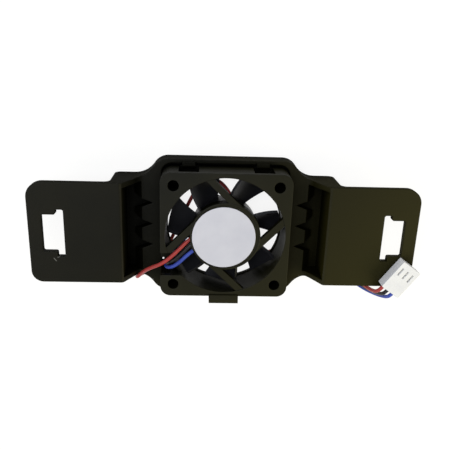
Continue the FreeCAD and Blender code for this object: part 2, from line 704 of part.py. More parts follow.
def make_fan_frame():
    half = FAN_HALF
    core = common("duct_section", [make_core_section(), make_fan_square("fan_square", SEAT, FAN_FRONT)])
    rear = make_fan_square("rear_flange", SEAT, f"{SEAT} + sizes.fan_flange")
    front = make_fan_square("front_flange", f"{FAN_FRONT} - sizes.fan_flange", FAN_FRONT)
    housing = fuse("fan_housing", [core, rear, front])
    holes = [cylinder("duct_hole", DUCT_INNER, (f"{SEAT} - 1", f"{FAN_FRONT} + 1"))]
    reach = "sizes.hole_pitch / 2"
    for number, (x, y) in enumerate(((1, 1), (-1, 1), (-1, -1), (1, -1)), 1):
        holes.append(cylinder(f"screw_hole_{number}", "sizes.hole_diameter / 2",
                              (f"{SEAT} - 1", f"{FAN_FRONT} + 1"), f"{x} * {reach}", f"{y} * {reach}"))
    bored = cut("fan_bored", housing, holes)
    frame = fuse("fan_with_base", [bored, make_struts(), make_motor_base()])
    low = minus("sizes.channel_low")
    channel = box("lead_channel", (f"-{half} - 1", minus("sizes.channel_inner")),
                  (low, minus("sizes.channel_high")),
                  (f"{FAN_FRONT} - sizes.channel_depth", f"{FAN_FRONT} + 1"))
    rear_notch = box("lead_notch", (f"-{half} - 1", minus("sizes.notch_inner")),
                     (low, minus("sizes.notch_high")),
                     (f"{SEAT} - 1", f"{SEAT} + sizes.fan_flange + 1"))
    rim = "sizes.base_diameter / 2"
    rim_notch = box("rim_notch", (f"-{rim} - 1", f"-{rim} + 4.2"), ("-8.2", "1.4"),
                    (f"{BASE_REAR} - 1", PLATE_REAR))
    return cut("fan_frame", frame, [channel, rear_notch, rim_notch])


def make_name_label():
    depth = (f"{FAN_FRONT} - sizes.label_thick", FAN_FRONT)
    return cylinder("name_label", "sizes.label_diameter / 2", depth, "sizes.label_x", "sizes.label_y")


# motor


def make_bearing_holder():
    lip = f"({HOLDER_OUTER} + 0.6)"
    return turned("bearing_holder", [
        (f"{HOLDER_INNER} - 0.4", f"{REAR_BEARING} + sizes.bearing_width"),
        (HOLDER_INNER, f"{REAR_BEARING} + sizes.bearing_width"),
        (HOLDER_INNER, "sizes.holder_rear"),
        (HOLDER_OUTER, "sizes.holder_rear"),
        (HOLDER_OUTER, f"{FAN_FRONT} - sizes.label_thick"),
        (HOLDER_INNER, f"{FAN_FRONT} - sizes.label_thick"),
        (HOLDER_INNER, FRONT_BEARING),
        (f"{HOLDER_INNER} - 0.4", FRONT_BEARING),
    ])


def make_bearing(place_name, low):
    """Outer ring, inner ring, balls and shields of one ball bearing."""
    high = f"({low} + sizes.bearing_width)"
    middle = f"({low} + sizes.bearing_width / 2)"
    ring_in = f"({SHAFT_RADIUS} + sizes.ring_thick)"
    ring_out = f"({HOLDER_INNER} - sizes.ring_thick)"
    groove = f"(sizes.ball_diameter / 2 + sizes.running)"
    track = doc.addObject("Part::Torus", place_name + "_track")
    bind(track, Radius1=RACE_RADIUS, Radius2=groove)
    place(track, z=middle)
    outer = turned(place_name + "_outer_blank", tube_profile(ring_out, HOLDER_INNER, low, high))
    inner = turned(place_name + "_inner_blank", tube_profile(SHAFT_RADIUS, ring_in, low, high))
    outer_ring = cut(place_name + "_outer_ring", outer, [track])
    inner_ring = cut(place_name + "_inner_ring", inner, [track])
    balls = []
    count = 7
    for number in range(count):
        ball = doc.addObject("Part::Sphere", f"{place_name}_ball_{number + 1}")
        bind(ball, Radius="sizes.ball_diameter / 2")
        turn = f"({360 / count * number} * 1 deg)"
        place(ball, f"{RACE_RADIUS} * cos({turn})", f"{RACE_RADIUS} * sin({turn})", middle)
        balls.append(ball)
    shield = f"({ring_in} + 0.05)"
    shields = [
        turned(place_name + "_shield_rear", tube_profile(shield, ring_out, low, f"{low} + 0.15")),
        turned(place_name + "_shield_front", tube_profile(shield, ring_out, f"{high} - 0.15", high)),
    ]
    ball_set = group(place_name + "_balls", balls)
    shield_pair = group(place_name + "_shields", shields)
    return [outer_ring, inner_ring, ball_set, shield_pair]


def four_pole_plate(name, low, high, radius, arm, gap):
    """Hub ring, four arms and four curved pole shoes."""
    arms = f"{arm} / 2"
    reach = f"({radius} - 0.4)"
    span = (low, high)
    hub = cylinder(name + "_hub", f"{HOLDER_OUTER} + 1.4", span)
    arm_x = box(name + "_arm_x", (minus(reach), reach), (minus(arms), arms), span)
    arm_y = box(name + "_arm_y", (minus(arms), arms), (minus(reach), reach), span)
    shoes = turned(name + "_shoes", tube_profile(f"{radius} - 1.1", radius, low, high))
    gaps = []
    for number in (0, 1):
        slot = box(f"{name}_gap_{number + 1}", (minus(CORE_RADIUS), CORE_RADIUS),
                   (f"-{gap} / 2", f"{gap} / 2"), (low, high))
        turn = f"({45 + 90 * number})"
        slot.setExpression("Placement.Rotation.Angle", turn)
        place(slot, f"-{CORE_RADIUS} * cos({turn} * 1 deg) + {gap} / 2 * sin({turn} * 1 deg)",
              f"-{CORE_RADIUS} * sin({turn} * 1 deg) - {gap} / 2 * cos({turn} * 1 deg)", low)
        gaps.append(slot)
    split_shoes = cut(name + "_split_shoes", shoes, gaps)
    bore = cylinder(name + "_bore", HOLDER_OUTER, (f"{low} - 1", f"{high} + 1"))
    return cut(name, fuse(name + "_star", [hub, arm_x, arm_y, split_shoes]), [bore])


def make_stator():
    thick = "sizes.insulator_thick"
    core = four_pole_plate("stator_core", "sizes.core_rear", CORE_FRONT, CORE_RADIUS, "sizes.arm_width",
                           "sizes.pole_gap")
    rear = four_pole_plate("rear_insulator", f"(sizes.core_rear - {thick})", "sizes.core_rear",
                           f"({CORE_RADIUS} - 0.4)", "(sizes.arm_width + 0.4)", "(sizes.pole_gap + 0.4)")
    front = four_pole_plate("front_insulator", CORE_FRONT, f"({CORE_FRONT} + {thick})",
                            f"({CORE_RADIUS} - 0.4)", "(sizes.arm_width + 0.4)", "(sizes.pole_gap + 0.4)")
    return [core, rear, front]


def make_coil(number):
    """Winding round one arm of the core and its insulators."""
    inner_y = "((sizes.arm_width + 0.4) / 2)"
    low = "(sizes.core_rear - sizes.insulator_thick)"
    high = f"({CORE_FRONT} + sizes.insulator_thick)"
    build = "sizes.winding"
    start = f"({HOLDER_OUTER} + 1.4)"
    shoe = f"({CORE_RADIUS} - 1.5)"
    length = f"(sqrt({shoe}^2 - ({inner_y} + {build})^2) - 0.05 - {start})"
    body = new_body(f"coil_{number + 1}")
    sketch = new_sketch(body, f"coil_{number + 1}_section", "YZ_Plane", start)
    outer = [
        (minus(f"({inner_y} + {build})"), f"{low} - {build}", "0.8"),
        (f"{inner_y} + {build}", f"{low} - {build}", "0.8"),
        (f"{inner_y} + {build}", f"{high} + {build}", "0.8"),
        (minus(f"({inner_y} + {build})"), f"{high} + {build}", "0.8"),
    ]
    draw_outline(sketch, outer)
    draw_outline(sketch, [(minus(inner_y), low), (inner_y, low), (inner_y, high), (minus(inner_y), high)])
    pad = body.newObject("PartDesign::Pad", f"coil_{number + 1}_pad")
    pad.Profile = sketch
    pad.setExpression("Length", length)
    body.Placement = FreeCAD.Placement(Vector(0, 0, 0), FreeCAD.Rotation(Vector(0, 0, 1), 90 * number))
    return body


def make_board():
    """Round board on the front of the stator, with its parts."""
    rim = "(sizes.base_diameter / 2 - sizes.base_wall - sizes.board_rim_gap)"
    ring = tube_profile(f"{HOLDER_OUTER} + sizes.board_bore_gap", rim, BOARD_REAR, BOARD_FRONT)
    board = turned("circuit_board", ring)
    hall_top = f"({rim} - sizes.hall_inset)"
    hall = box("hall_sensor", ("-sizes.hall_width / 2", "sizes.hall_width / 2"),
               (f"{hall_top} - sizes.hall_length", hall_top), (f"{BOARD_REAR} - sizes.hall_height", BOARD_REAR))
    above = (BOARD_FRONT, f"{BOARD_FRONT} + sizes.chip_height")
    chip_low = f"(({HOLDER_OUTER} + {rim}) / 2 - sizes.chip_shift - sizes.chip_length / 2)"
    chip = box("driver_chip", (chip_low, f"{chip_low} + sizes.chip_length"),
               ("-sizes.chip_width / 2", "sizes.chip_width / 2"), above)
    capacitor_low = f"(sizes.capacitor_inset - {rim})"
    capacitor = box("capacitor", ("-sizes.capacitor_width / 2", "sizes.capacitor_width / 2"),
                    (capacitor_low, f"{capacitor_low} + sizes.capacitor_length"), above)
    resistor_top = f"({rim} - sizes.resistor_inset)"
    resistor = box("resistor", ("sizes.resistor_x - sizes.resistor_length / 2",
                                "sizes.resistor_x + sizes.resistor_length / 2"),
                   (f"{resistor_top} - sizes.resistor_width", resistor_top),
                   (BOARD_FRONT, f"{BOARD_FRONT} + sizes.resistor_height"))
    pads = []
    pad_depth = (BOARD_FRONT, f"{BOARD_FRONT} + sizes.pad_height")
    for number, (x, y) in enumerate((("-8.85", "-0.05"), ("-8.6", "-2.1"), ("-8.2", "-4.35")), 1):
        pads.append(cylinder(f"solder_{number}", "sizes.pad_radius", pad_depth, x, y))
    return [board, hall, chip, capacitor, resistor, group("solder_joints", pads), make_coil_pins()]


def make_coil_pins():
    pins = []
    half = "sizes.pin_width / 2"
    depth = (f"{CORE_FRONT} + sizes.insulator_thick", BOARD_REAR)
    for number, signs in enumerate(((1, 1), (-1, 1), (-1, -1), (1, -1)), 1):
        across = []
        for sign in signs:
            across.append((f"{sign} * sizes.pin_reach - {half}", f"{sign} * sizes.pin_reach + {half}"))
        pins.append(box(f"pin_{number}", across[0], across[1], depth))
    return group("coil_pins", pins)


# rotor


def make_shaft():
    tip = f"({FRONT_BEARING} + sizes.bearing_width + 1)"
    radius = SHAFT_RADIUS
    neck = f"({radius} - 0.25)"
    clip = f"({FRONT_BEARING} + sizes.bearing_width + 0.25)"
    return turned("shaft", [
        ("0", f"{HUB_REAR} + 0.3"),
        (radius, f"{HUB_REAR} + 0.3"),
        (radius, clip),
        (neck, clip),
        (neck, f"{clip} + sizes.clip_thick"),
        (radius, f"{clip} + sizes.clip_thick"),
        (radius, tip, "0.2"),
        ("0", tip),
    ])


def make_clip():
    """Split washer in the shaft's groove, and the plain washer behind it."""
    low = f"({FRONT_BEARING} + sizes.bearing_width + 0.25)"
    blank = turned("clip_blank", tube_profile(f"{SHAFT_RADIUS} - 0.25", "sizes.clip_diameter / 2", low,
                                              f"{low} + sizes.clip_thick"))
    mouth = box("clip_mouth", ("0", "sizes.clip_diameter"), ("-0.35", "0.35"),
                (f"{low} - 1", f"{low} + 1"))
    washer_ring = tube_profile(SHAFT_RADIUS, "1.5", f"{FRONT_BEARING} + sizes.bearing_width", low)
    washer = turned("shaft_washer", washer_ring)
    return [cut("shaft_clip", blank, [mouth]), washer]


def make_bush():
    """Turned bush that carries the yoke and the hub on the shaft."""
    radius = "(sizes.bush_diameter / 2)"
    return turned("shaft_bush", [
        (SHAFT_RADIUS, YOKE_REAR),
        (radius, YOKE_REAR),
        (radius, YOKE_FLOOR),
        (f"{radius} - 0.5", YOKE_FLOOR),
        (f"{radius} - 0.5", f"{YOKE_FLOOR} + 0.1"),
        (SHAFT_RADIUS, f"{YOKE_FLOOR} + 0.1"),
    ])


def make_yoke():
    return turned("rotor_yoke", [
        ("sizes.bush_diameter / 2", YOKE_REAR),
        (HUB_INNER, YOKE_REAR, "0.6"),
        (HUB_INNER, "sizes.rotor_front"),
        (YOKE_INNER, "sizes.rotor_front"),
        (YOKE_INNER, YOKE_FLOOR),
        ("sizes.bush_diameter / 2", YOKE_FLOOR),
    ])


def make_magnet():
    return turned("ring_magnet", tube_profile(MAGNET_INNER, YOKE_INNER, f"{YOKE_FLOOR} + 0.6",
                                              "sizes.rotor_front"))


def make_spring():
    """Preload spring between the bush and the rear bearing's inner ring."""
    low = f"({YOKE_FLOOR} + 0.1)"
    body = new_body("preload_spring")
    sketch = new_sketch(body, "spring_section", "XZ_Plane")
    draw_circle(sketch, "sizes.spring_wire / 2", f"{SHAFT_RADIUS} + 0.22", f"{low} + sizes.spring_wire / 2")
    helix = body.newObject("PartDesign::AdditiveHelix", "spring_coil")
    helix.Profile = sketch
    helix.ReferenceAxis = (sketch, ["V_Axis"])
    helix.Mode = "height-turns-angle"
    helix.setExpression("Height", f"{REAR_BEARING} - {low} - sizes.spring_wire")
    helix.Turns = 2
    return body


def blade_section(body, number, distance):
    """Curved section of the blade at a distance from the axis, in a plane parallel to XZ."""
    sketch = new_sketch(body, f"blade_section_{number}", "XZ_Plane", minus(distance))
    swing = f"(sizes.blade_sweep * ({distance} - {HUB_INNER}) / ({DUCT_INNER} - {HUB_INNER}))"
    ahead = f"{distance} * tan(({swing} + sizes.blade_half) * 1 deg)"
    behind = f"{distance} * tan(({swing} - sizes.blade_half) * 1 deg)"
    half = "sizes.blade_thick / 2"
    corners = [
        (f"{ahead} - {half}", f"sizes.blade_rear"),
        (f"{ahead} + {half}", f"sizes.blade_rear + {half}"),
        (f"{behind} + {half}", "sizes.blade_front"),
        (f"{behind} - {half}", f"sizes.blade_front - {half}"),
    ]
    points = [Vector(size(x), size(y), 0) for x, y in corners]
    marks = [sketch.addGeometry(Part.Point(point), True) for point in points]
    for mark, (x, y) in zip(marks, corners):
        fix_point(sketch, mark, 1, x, y)
    chord = f"sqrt(({ahead} - ({behind}))^2 + (sizes.blade_front - sizes.blade_rear)^2)"
    for first, last, reach in ((1, 2, f"{chord} * 1.05"), (3, 0, f"{chord} * 1.05")):
        add_bowed_edge(sketch, marks, points, first, last, reach)
    for first, last in ((0, 1), (2, 3)):
        line = sketch.addGeometry(Part.LineSegment(points[first], points[last]))
        sketch.addConstraint([Sketcher.Constraint("Coincident", line, 1, marks[first], 1),
                              Sketcher.Constraint("Coincident", line, 2, marks[last], 1)])
    return sketch


def add_bowed_edge(sketch, marks, points, first, last, radius):
    """Arc between two marked corners, bowed towards the trailing side."""
    start, stop = points[first], points[last]
    along = (stop - start)
    normal = Vector(along.y, -along.x, 0).normalize()
    if normal.x > 0:
        normal = normal * -1
    bend = size(radius)
    sagitta = bend - math.sqrt(bend ** 2 - (along.Length / 2) ** 2)
    middle = (start + stop) * 0.5 + normal * sagitta
    arc = sketch.addGeometry(Part.Arc(start, middle, stop))
    ends = (1, 2)
    if (sketch.getPoint(arc, 1) - start).Length > (sketch.getPoint(arc, 2) - start).Length:
        ends = (2, 1)
    sketch.addConstraint([Sketcher.Constraint("Coincident", arc, ends[0], marks[first], 1),
                          Sketcher.Constraint("Coincident", arc, ends[1], marks[last], 1)])
    fix_radius(sketch, arc, radius)


def make_impeller():
    """Hub cap with its blades; the tips are turned true to the duct."""
    body = new_body("impeller")
    sketch = new_sketch(body, "hub_profile", "XZ_Plane")
    draw_outline(sketch, [
        ("0", HUB_REAR),
        (HUB_OUTER, HUB_REAR, "1.2"),
        (HUB_OUTER, "sizes.rotor_front"),
        (HUB_INNER, "sizes.rotor_front"),
        (HUB_INNER, YOKE_REAR, "0.6"),
        (SHAFT_RADIUS, YOKE_REAR),
        (SHAFT_RADIUS, f"{HUB_REAR} + 0.3"),
        ("0", f"{HUB_REAR} + 0.3"),
    ])
    hub = body.newObject("PartDesign::Revolution", "hub_turn")
    hub.Profile = sketch
    hub.ReferenceAxis = (sketch, ["V_Axis"])
    hub.Angle = 360
    doc.recompute()
    root = blade_section(body, 1, f"({HUB_INNER} + sizes.hub_wall * 0.25)")
    middle = blade_section(body, 2, f"(({HUB_INNER} + {DUCT_INNER}) / 2)")
    tip = blade_section(body, 3, f"({DUCT_INNER} + 0.5)")
    blade = body.newObject("PartDesign::AdditiveLoft", "blade")
    blade.Profile = root
    blade.Sections = [middle, tip]
    doc.recompute()
    blades = body.newObject("PartDesign::PolarPattern", "blades")
    blades.Originals = [blade]
    axis = [feature for feature in body.Origin.OriginFeatures if feature.Role == "Z_Axis"][0]
    blades.Axis = (axis, [""])
    blades.Angle = 360
    blades.setExpression("Occurrences", "sizes.blade_count")
    body.Tip = blades
    doc.recompute()
    before = body.Shape.Volume
    ring = new_sketch(body, "tip_profile", "XZ_Plane")
    swept = f"({DUCT_INNER} - sizes.blade_tip_gap)"
    draw_outline(ring, tube_profile(swept, "sizes.fan_size", "0", FAN_FRONT))
    trim = body.newObject("PartDesign::Groove", "tip_trim")
    trim.Profile = ring
    trim.ReferenceAxis = (ring, ["V_Axis"])
    trim.Angle = 360
    body.Tip = trim
    doc.recompute()
    print("blade tips trimmed, mm3:", round(before - body.Shape.Volume, 2))
    body.setExpression("Placement.Rotation.Angle", "sizes.blade_phase")
    return body


# leads and connector

# Points of each lead, from its solder joint to the connector, in millimetres.
RED_ROUTE = [
    (-9.6, -0.2, 17.8), (-12.2, -0.9, 17.8), (-14.8, -2.8, 18.0), (-17.6, -5.6, 18.8), (-20.9, -8.9, 19.3),
    (-24.6, -11.9, 19.1), (-28.4, -14.0, 17.6), (-31.2, -16.4, 15.0), (-33.2, -18.9, 12.4),
    (-35.0, -21.4, 10.6), (-35.6, -22.4, 7.4), (-34.0, -22.9, 3.9), (-30.6, -22.0, 1.4),
    (-27.0, -18.0, 0.9), (-22.4, -9.6, 0.9), (-17.8, 0.6, 0.9), (-13.2, 11.0, 0.9),
    (-9.0, 17.0, 0.9), (-4.2, 18.4, 0.9), (0.2, 15.4, 0.9), (4.8, 7.8, 0.9), (9.2, -2.4, 0.9),
    (12.6, -10.2, 0.9), (16.4, -13.8, 0.9), (20.8, -13.0, 0.9), (25.0, -10.0, 0.9), (31.0, -9.8, 0.9),
    (38.4, -11.4, 0.9), (45.4, -11.8, 0.9), (49.6, -14.8, 0.9), (52.8, -18.2, 1.6), (55.6, -20.8, 4.4),
    (57.6, -22.5, 8.4), (59.2, -23.2, 12.8), (60.6, -23.0, 17.0), (61.6, -22.1, 20.0),
    (62.76, -20.12, 21.45), (64.55, -17.65, 21.45),
]

BLACK_ROUTE = [
    (-9.4, -2.3, 17.8), (-12.0, -3.3, 17.8), (-14.6, -5.5, 17.9), (-17.7, -8.9, 17.9), (-21.0, -11.8, 17.3),
    (-23.1, -13.2, 14.4), (-23.4, -13.3, 10.4), (-23.3, -13.0, 6.4), (-22.8, -12.6, 3.2),
    (-20.4, -10.4, 1.2), (-16.8, -4.6, 0.9), (-12.6, 1.2, 0.9), (-9.2, 7.4, 0.9), (-5.0, 11.4, 0.9),
    (-0.6, 10.2, 0.9), (2.4, 5.4, 0.9), (4.4, -1.4, 0.9), (7.0, -8.4, 0.9), (10.8, -14.4, 0.9),
    (15.4, -17.0, 0.9), (20.6, -15.9, 0.9), (25.4, -12.6, 0.9), (31.4, -11.9, 0.9), (38.2, -13.3, 0.9),
    (44.4, -13.7, 0.9), (48.6, -16.6, 0.9), (52.6, -20.4, 1.2), (56.4, -23.4, 3.8), (59.2, -25.0, 7.8),
    (61.4, -25.1, 12.0), (62.9, -24.5, 16.2), (63.9, -23.3, 19.7), (64.82, -21.61, 21.45),
    (66.61, -19.14, 21.45),
]

BLUE_ROUTE = [
    (-9.0, -4.6, 17.8), (-11.6, -6.0, 17.8), (-14.8, -8.6, 17.9), (-17.8, -11.8, 17.9), (-20.6, -14.0, 17.2),
    (-22.9, -15.3, 14.4), (-23.4, -15.4, 10.4), (-23.3, -15.2, 6.4), (-22.6, -14.8, 3.2),
    (-20.0, -12.8, 1.2), (-16.0, -7.6, 0.9), (-11.4, -2.8, 0.9), (-6.6, 0.0, 0.9), (-1.6, -0.8, 0.9),
    (2.4, -4.4, 0.9), (5.4, -9.8, 0.9), (8.6, -15.0, 0.9), (12.8, -18.6, 0.9), (17.8, -19.5, 0.9),
    (22.6, -17.6, 0.9), (27.0, -14.7, 0.9), (32.2, -14.0, 0.9), (38.0, -15.1, 0.9), (43.6, -15.7, 0.9),
    (48.0, -18.6, 0.9), (52.6, -22.6, 1.1), (57.2, -25.8, 3.2), (60.8, -27.0, 7.2), (63.4, -26.9, 11.6),
    (65.1, -26.0, 15.8), (66.2, -24.7, 19.5), (66.87, -23.1, 21.45), (68.66, -20.64, 21.45),
]


def lead_path(points):
    """Straight runs joined by tangent arcs."""
    corners = [Vector(*point) for point in points]
    edges, radii = [], []
    start = corners[0]
    for before, corner, after in zip(corners, corners[1:], corners[2:]):
        back = before - corner
        ahead = after - corner
        shorter = min(back.Length, ahead.Length)
        turn = math.pi - back.getAngle(ahead)
        reach = 0.45 * shorter
        radii.append(reach / math.tan(turn / 2))
        entry = corner + back.normalize() * reach
        leave = corner + ahead.normalize() * reach
        towards = (entry + leave) * 0.5 - corner
        centre = corner + towards.normalize() * (radii[-1] / math.cos(turn / 2))
        middle = centre + (corner - centre).normalize() * radii[-1]
        edges.append(Part.LineSegment(start, entry).toShape())
        edges.append(Part.Arc(entry, middle, leave).toShape())
        start = leave
    edges.append(Part.LineSegment(start, corners[-1]).toShape())
    return Part.Wire(edges), radii


def make_lead(name, points):
    path, radii = lead_path(points)
    radius = size("sizes.lead_diameter / 2")
    heading = Vector(*points[1]) - Vector(*points[0])
    section = Part.Wire([Part.Circle(Vector(*points[0]), heading, radius).toShape()])
    tube = path.makePipeShell([section], True, False)
    lead = doc.addObject("Part::Feature", name)
    lead.Shape = tube
    lead.Placement = FreeCAD.Placement()
    expected = math.pi * radius ** 2 * path.Length
    print(f"{name}: length {path.Length:.1f}, least radius {min(radii):.2f}, "
          f"volume {tube.Volume / expected:.4f} of section times length")
    return lead


def on_wing(solid):
    """Turn a piece from the housing's own frame to where the housing lies on the wing."""
    solid.setExpression("Placement.Rotation.Angle", "sizes.plug_angle")
    return place(solid, "sizes.plug_x", "sizes.plug_y", "sizes.wing_front + 0.05")


def make_connector():
    """Three-way housing: leads enter at its rear end, contacts open at its front end."""
    length = "sizes.plug_length"
    half = "(sizes.plug_width / 2)"
    thick = "sizes.plug_thick"
    body = new_body("connector_housing")
    outline = new_sketch(body, "housing_outline", "XY_Plane")
    draw_outline(outline, [
        (minus(f"{length} / 2"), minus(half), "0.4"), (f"{length} / 2", minus(half), "0.4"),
        (f"{length} / 2", half, "0.4"), (minus(f"{length} / 2"), half, "0.4"),
    ])
    block = body.newObject("PartDesign::Pad", "housing_block")
    block.Profile = outline
    block.setExpression("Length", thick)
    doc.recompute()
    bores = new_sketch(body, "housing_bores", "YZ_Plane", minus(f"{length} / 2"))
    windows = new_sketch(body, "housing_windows", "XY_Plane", thick)
    for number in (-1, 0, 1):
        middle = f"({number} * sizes.plug_pitch)"
        draw_outline(bores, [
            (f"{middle} - 0.85", f"{thick} / 2 - 0.95"), (f"{middle} + 0.85", f"{thick} / 2 - 0.95"),
            (f"{middle} + 0.85", f"{thick} / 2 + 0.95"), (f"{middle} - 0.85", f"{thick} / 2 + 0.95"),
        ])
        draw_outline(windows, [
            ("0.8", f"{middle} - 0.35"), ("0.8 + sizes.plug_window", f"{middle} - 0.35"),
            ("0.8 + sizes.plug_window", f"{middle} + 0.35"), ("0.8", f"{middle} + 0.35"),
        ])
    doc.recompute()
    before = body.Shape.Volume
    bore = body.newObject("PartDesign::Pocket", "housing_bore")
    bore.Profile = bores
    bore.setExpression("Length", length)
    bore.Reversed = True
    doc.recompute()
    after = body.Shape.Volume
    window = body.newObject("PartDesign::Pocket", "housing_window")
    window.Profile = windows
    window.setExpression("Length", f"{thick} / 2")
    doc.recompute()
    print("housing cut, mm3:", round(before - after, 2), round(after - body.Shape.Volume, 2))
    return on_wing(body)


def make_terminal(number):
    """Crimped contact: a flat box at the front, open crimp wings at the lead."""
    middle = f"({number - 1} * sizes.plug_pitch)"
    high = "sizes.plug_thick / 2"
    front = "sizes.plug_length / 2 - 0.5"
    rear = "(sizes.plug_length / 2 - 1.85)"
    body = new_body(f"crimp_terminal_{number + 1}")
    sketch = new_sketch(body, f"terminal_{number + 1}_section", "YZ_Plane", minus(rear))
    draw_outline(sketch, [
        (f"{middle} - 0.75", f"{high} - 0.8"), (f"{middle} + 0.75", f"{high} - 0.8"),
        (f"{middle} + 0.75", f"{high} + 0.8"), (f"{middle} - 0.75", f"{high} + 0.8"),
    ])
    draw_outline(sketch, [
        (f"{middle} - 0.5", f"{high} - 0.55"), (f"{middle} + 0.5", f"{high} - 0.55"),
        (f"{middle} + 0.5", f"{high} + 0.55"), (f"{middle} - 0.5", f"{high} + 0.55"),
    ])
    pad = body.newObject("PartDesign::Pad", f"terminal_{number + 1}_pad")
    pad.Profile = sketch
    pad.setExpression("Length", f"{front} + {rear}")
    return on_wing(body)


# the whole module


def make_module():
    nodes = [make_bracket(), make_fan_frame(), make_name_label(), make_bearing_holder()]
    nodes += make_bearing("rear_bearing", REAR_BEARING)
    nodes += make_bearing("front_bearing", FRONT_BEARING)
    nodes += make_stator()
    nodes += [make_coil(number) for number in range(4)]
    nodes += make_board()
    nodes += [make_shaft(), make_bush(), make_yoke(), make_magnet(), make_spring(), make_impeller()]
    nodes += make_clip()
    nodes += [make_lead("red_lead", RED_ROUTE), make_lead("black_lead", BLACK_ROUTE),
              make_lead("blue_lead", BLUE_ROUTE), make_connector()]
    nodes += [make_terminal(number) for number in range(3)]
    return nodes


def check_document(nodes):
    faults = [item.Name for item in doc.Objects if "Invalid" in item.State or "Error" in item.State]
    if faults:
        raise RuntimeError("failed objects: " + ", ".join(faults))
    for node in nodes:
        if node.Shape.isNull() or not node.Shape.isValid():
            raise RuntimeError("bad shape: " + node.Label)


nodes = make_module()
doc.recompute()
check_document(nodes)
os.makedirs("parts", exist_ok=True)
for node in nodes:
    node.Shape.exportStep(f"parts/{node.Label}.step")
print(len(nodes), "nodes written")
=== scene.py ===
import math

import bpy
from mathutils import Euler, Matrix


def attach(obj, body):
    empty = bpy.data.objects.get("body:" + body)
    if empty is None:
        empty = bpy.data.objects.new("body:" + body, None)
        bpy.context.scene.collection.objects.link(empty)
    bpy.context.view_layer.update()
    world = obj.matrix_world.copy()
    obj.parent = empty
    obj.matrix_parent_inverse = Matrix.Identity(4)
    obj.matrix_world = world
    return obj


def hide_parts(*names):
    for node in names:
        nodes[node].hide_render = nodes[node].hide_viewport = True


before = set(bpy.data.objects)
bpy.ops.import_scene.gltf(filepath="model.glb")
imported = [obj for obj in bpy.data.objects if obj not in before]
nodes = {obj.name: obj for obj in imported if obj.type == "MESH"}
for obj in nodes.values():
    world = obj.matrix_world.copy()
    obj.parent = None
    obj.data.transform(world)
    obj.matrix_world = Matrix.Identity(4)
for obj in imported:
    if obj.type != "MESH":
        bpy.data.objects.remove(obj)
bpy.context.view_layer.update()  # everything is in metres, Z up, on the fan's axis
scene = bpy.context.scene
print("frame loaded, nodes:", len(nodes))


# shader building blocks

def makeNode(tree, kind, place, **values):
    item = tree.nodes.new(kind)
    item.location = place
    for name, value in values.items():
        setattr(item, name, value)
    return item


def feed(tree, socket, value):
    if isinstance(value, bpy.types.NodeSocket):
        tree.links.new(value, socket)
    elif value is not None:
        socket.default_value = value


def makeGroup(name, inputs, outputs):
    group = bpy.data.node_groups.new(name, "ShaderNodeTree")
    for label, kind, default in inputs:
        socket = group.interface.new_socket(name=label, in_out="INPUT", socket_type=kind)
        if default is not None:
            socket.default_value = default
    for label, kind in outputs:
        group.interface.new_socket(name=label, in_out="OUTPUT", socket_type=kind)
    given = makeNode(group, "NodeGroupInput", (-900, 0))
    result = makeNode(group, "NodeGroupOutput", (900, 0))
    return group, given, result


def placeGroup(tree, group, place, **values):
    item = makeNode(tree, "ShaderNodeGroup", place, node_tree=group)
    for label, value in values.items():
        feed(tree, item.inputs[label.replace("_", " ")], value)
    return item


def colourOf(red, green, blue):
    return (red, green, blue, 1.0)


def mixColours(tree, place, factor, low, high, blend="MIX"):
    mix = makeNode(tree, "ShaderNodeMix", place, data_type="RGBA", blend_type=blend)
    feed(tree, mix.inputs["Factor"], factor)
    feed(tree, mix.inputs[6], low)  # 6 and 7 are the colour sockets
    feed(tree, mix.inputs[7], high)
    return mix.outputs[2]


def combine(tree, place, operation, first, second=None):
    item = makeNode(tree, "ShaderNodeMath", place, operation=operation)
    feed(tree, item.inputs[0], first)
    feed(tree, item.inputs[1], second)
    return item.outputs[0]


def mapRange(tree, place, value, source, target=(0.0, 1.0), **values):
    item = makeNode(tree, "ShaderNodeMapRange", place, **values)
    feed(tree, item.inputs["Value"], value)
    for label, end in zip(("From Min", "From Max", "To Min", "To Max"), (*source, *target)):
        feed(tree, item.inputs[label], end)
    return item.outputs[0]


def objectNoise(tree, place, coords, scale, detail):
    noise = makeNode(tree, "ShaderNodeTexNoise", place)
    tree.links.new(coords.outputs["Object"], noise.inputs["Vector"])
    feed(tree, noise.inputs["Scale"], scale)
    noise.inputs["Detail"].default_value = detail
    return noise.outputs["Fac"]


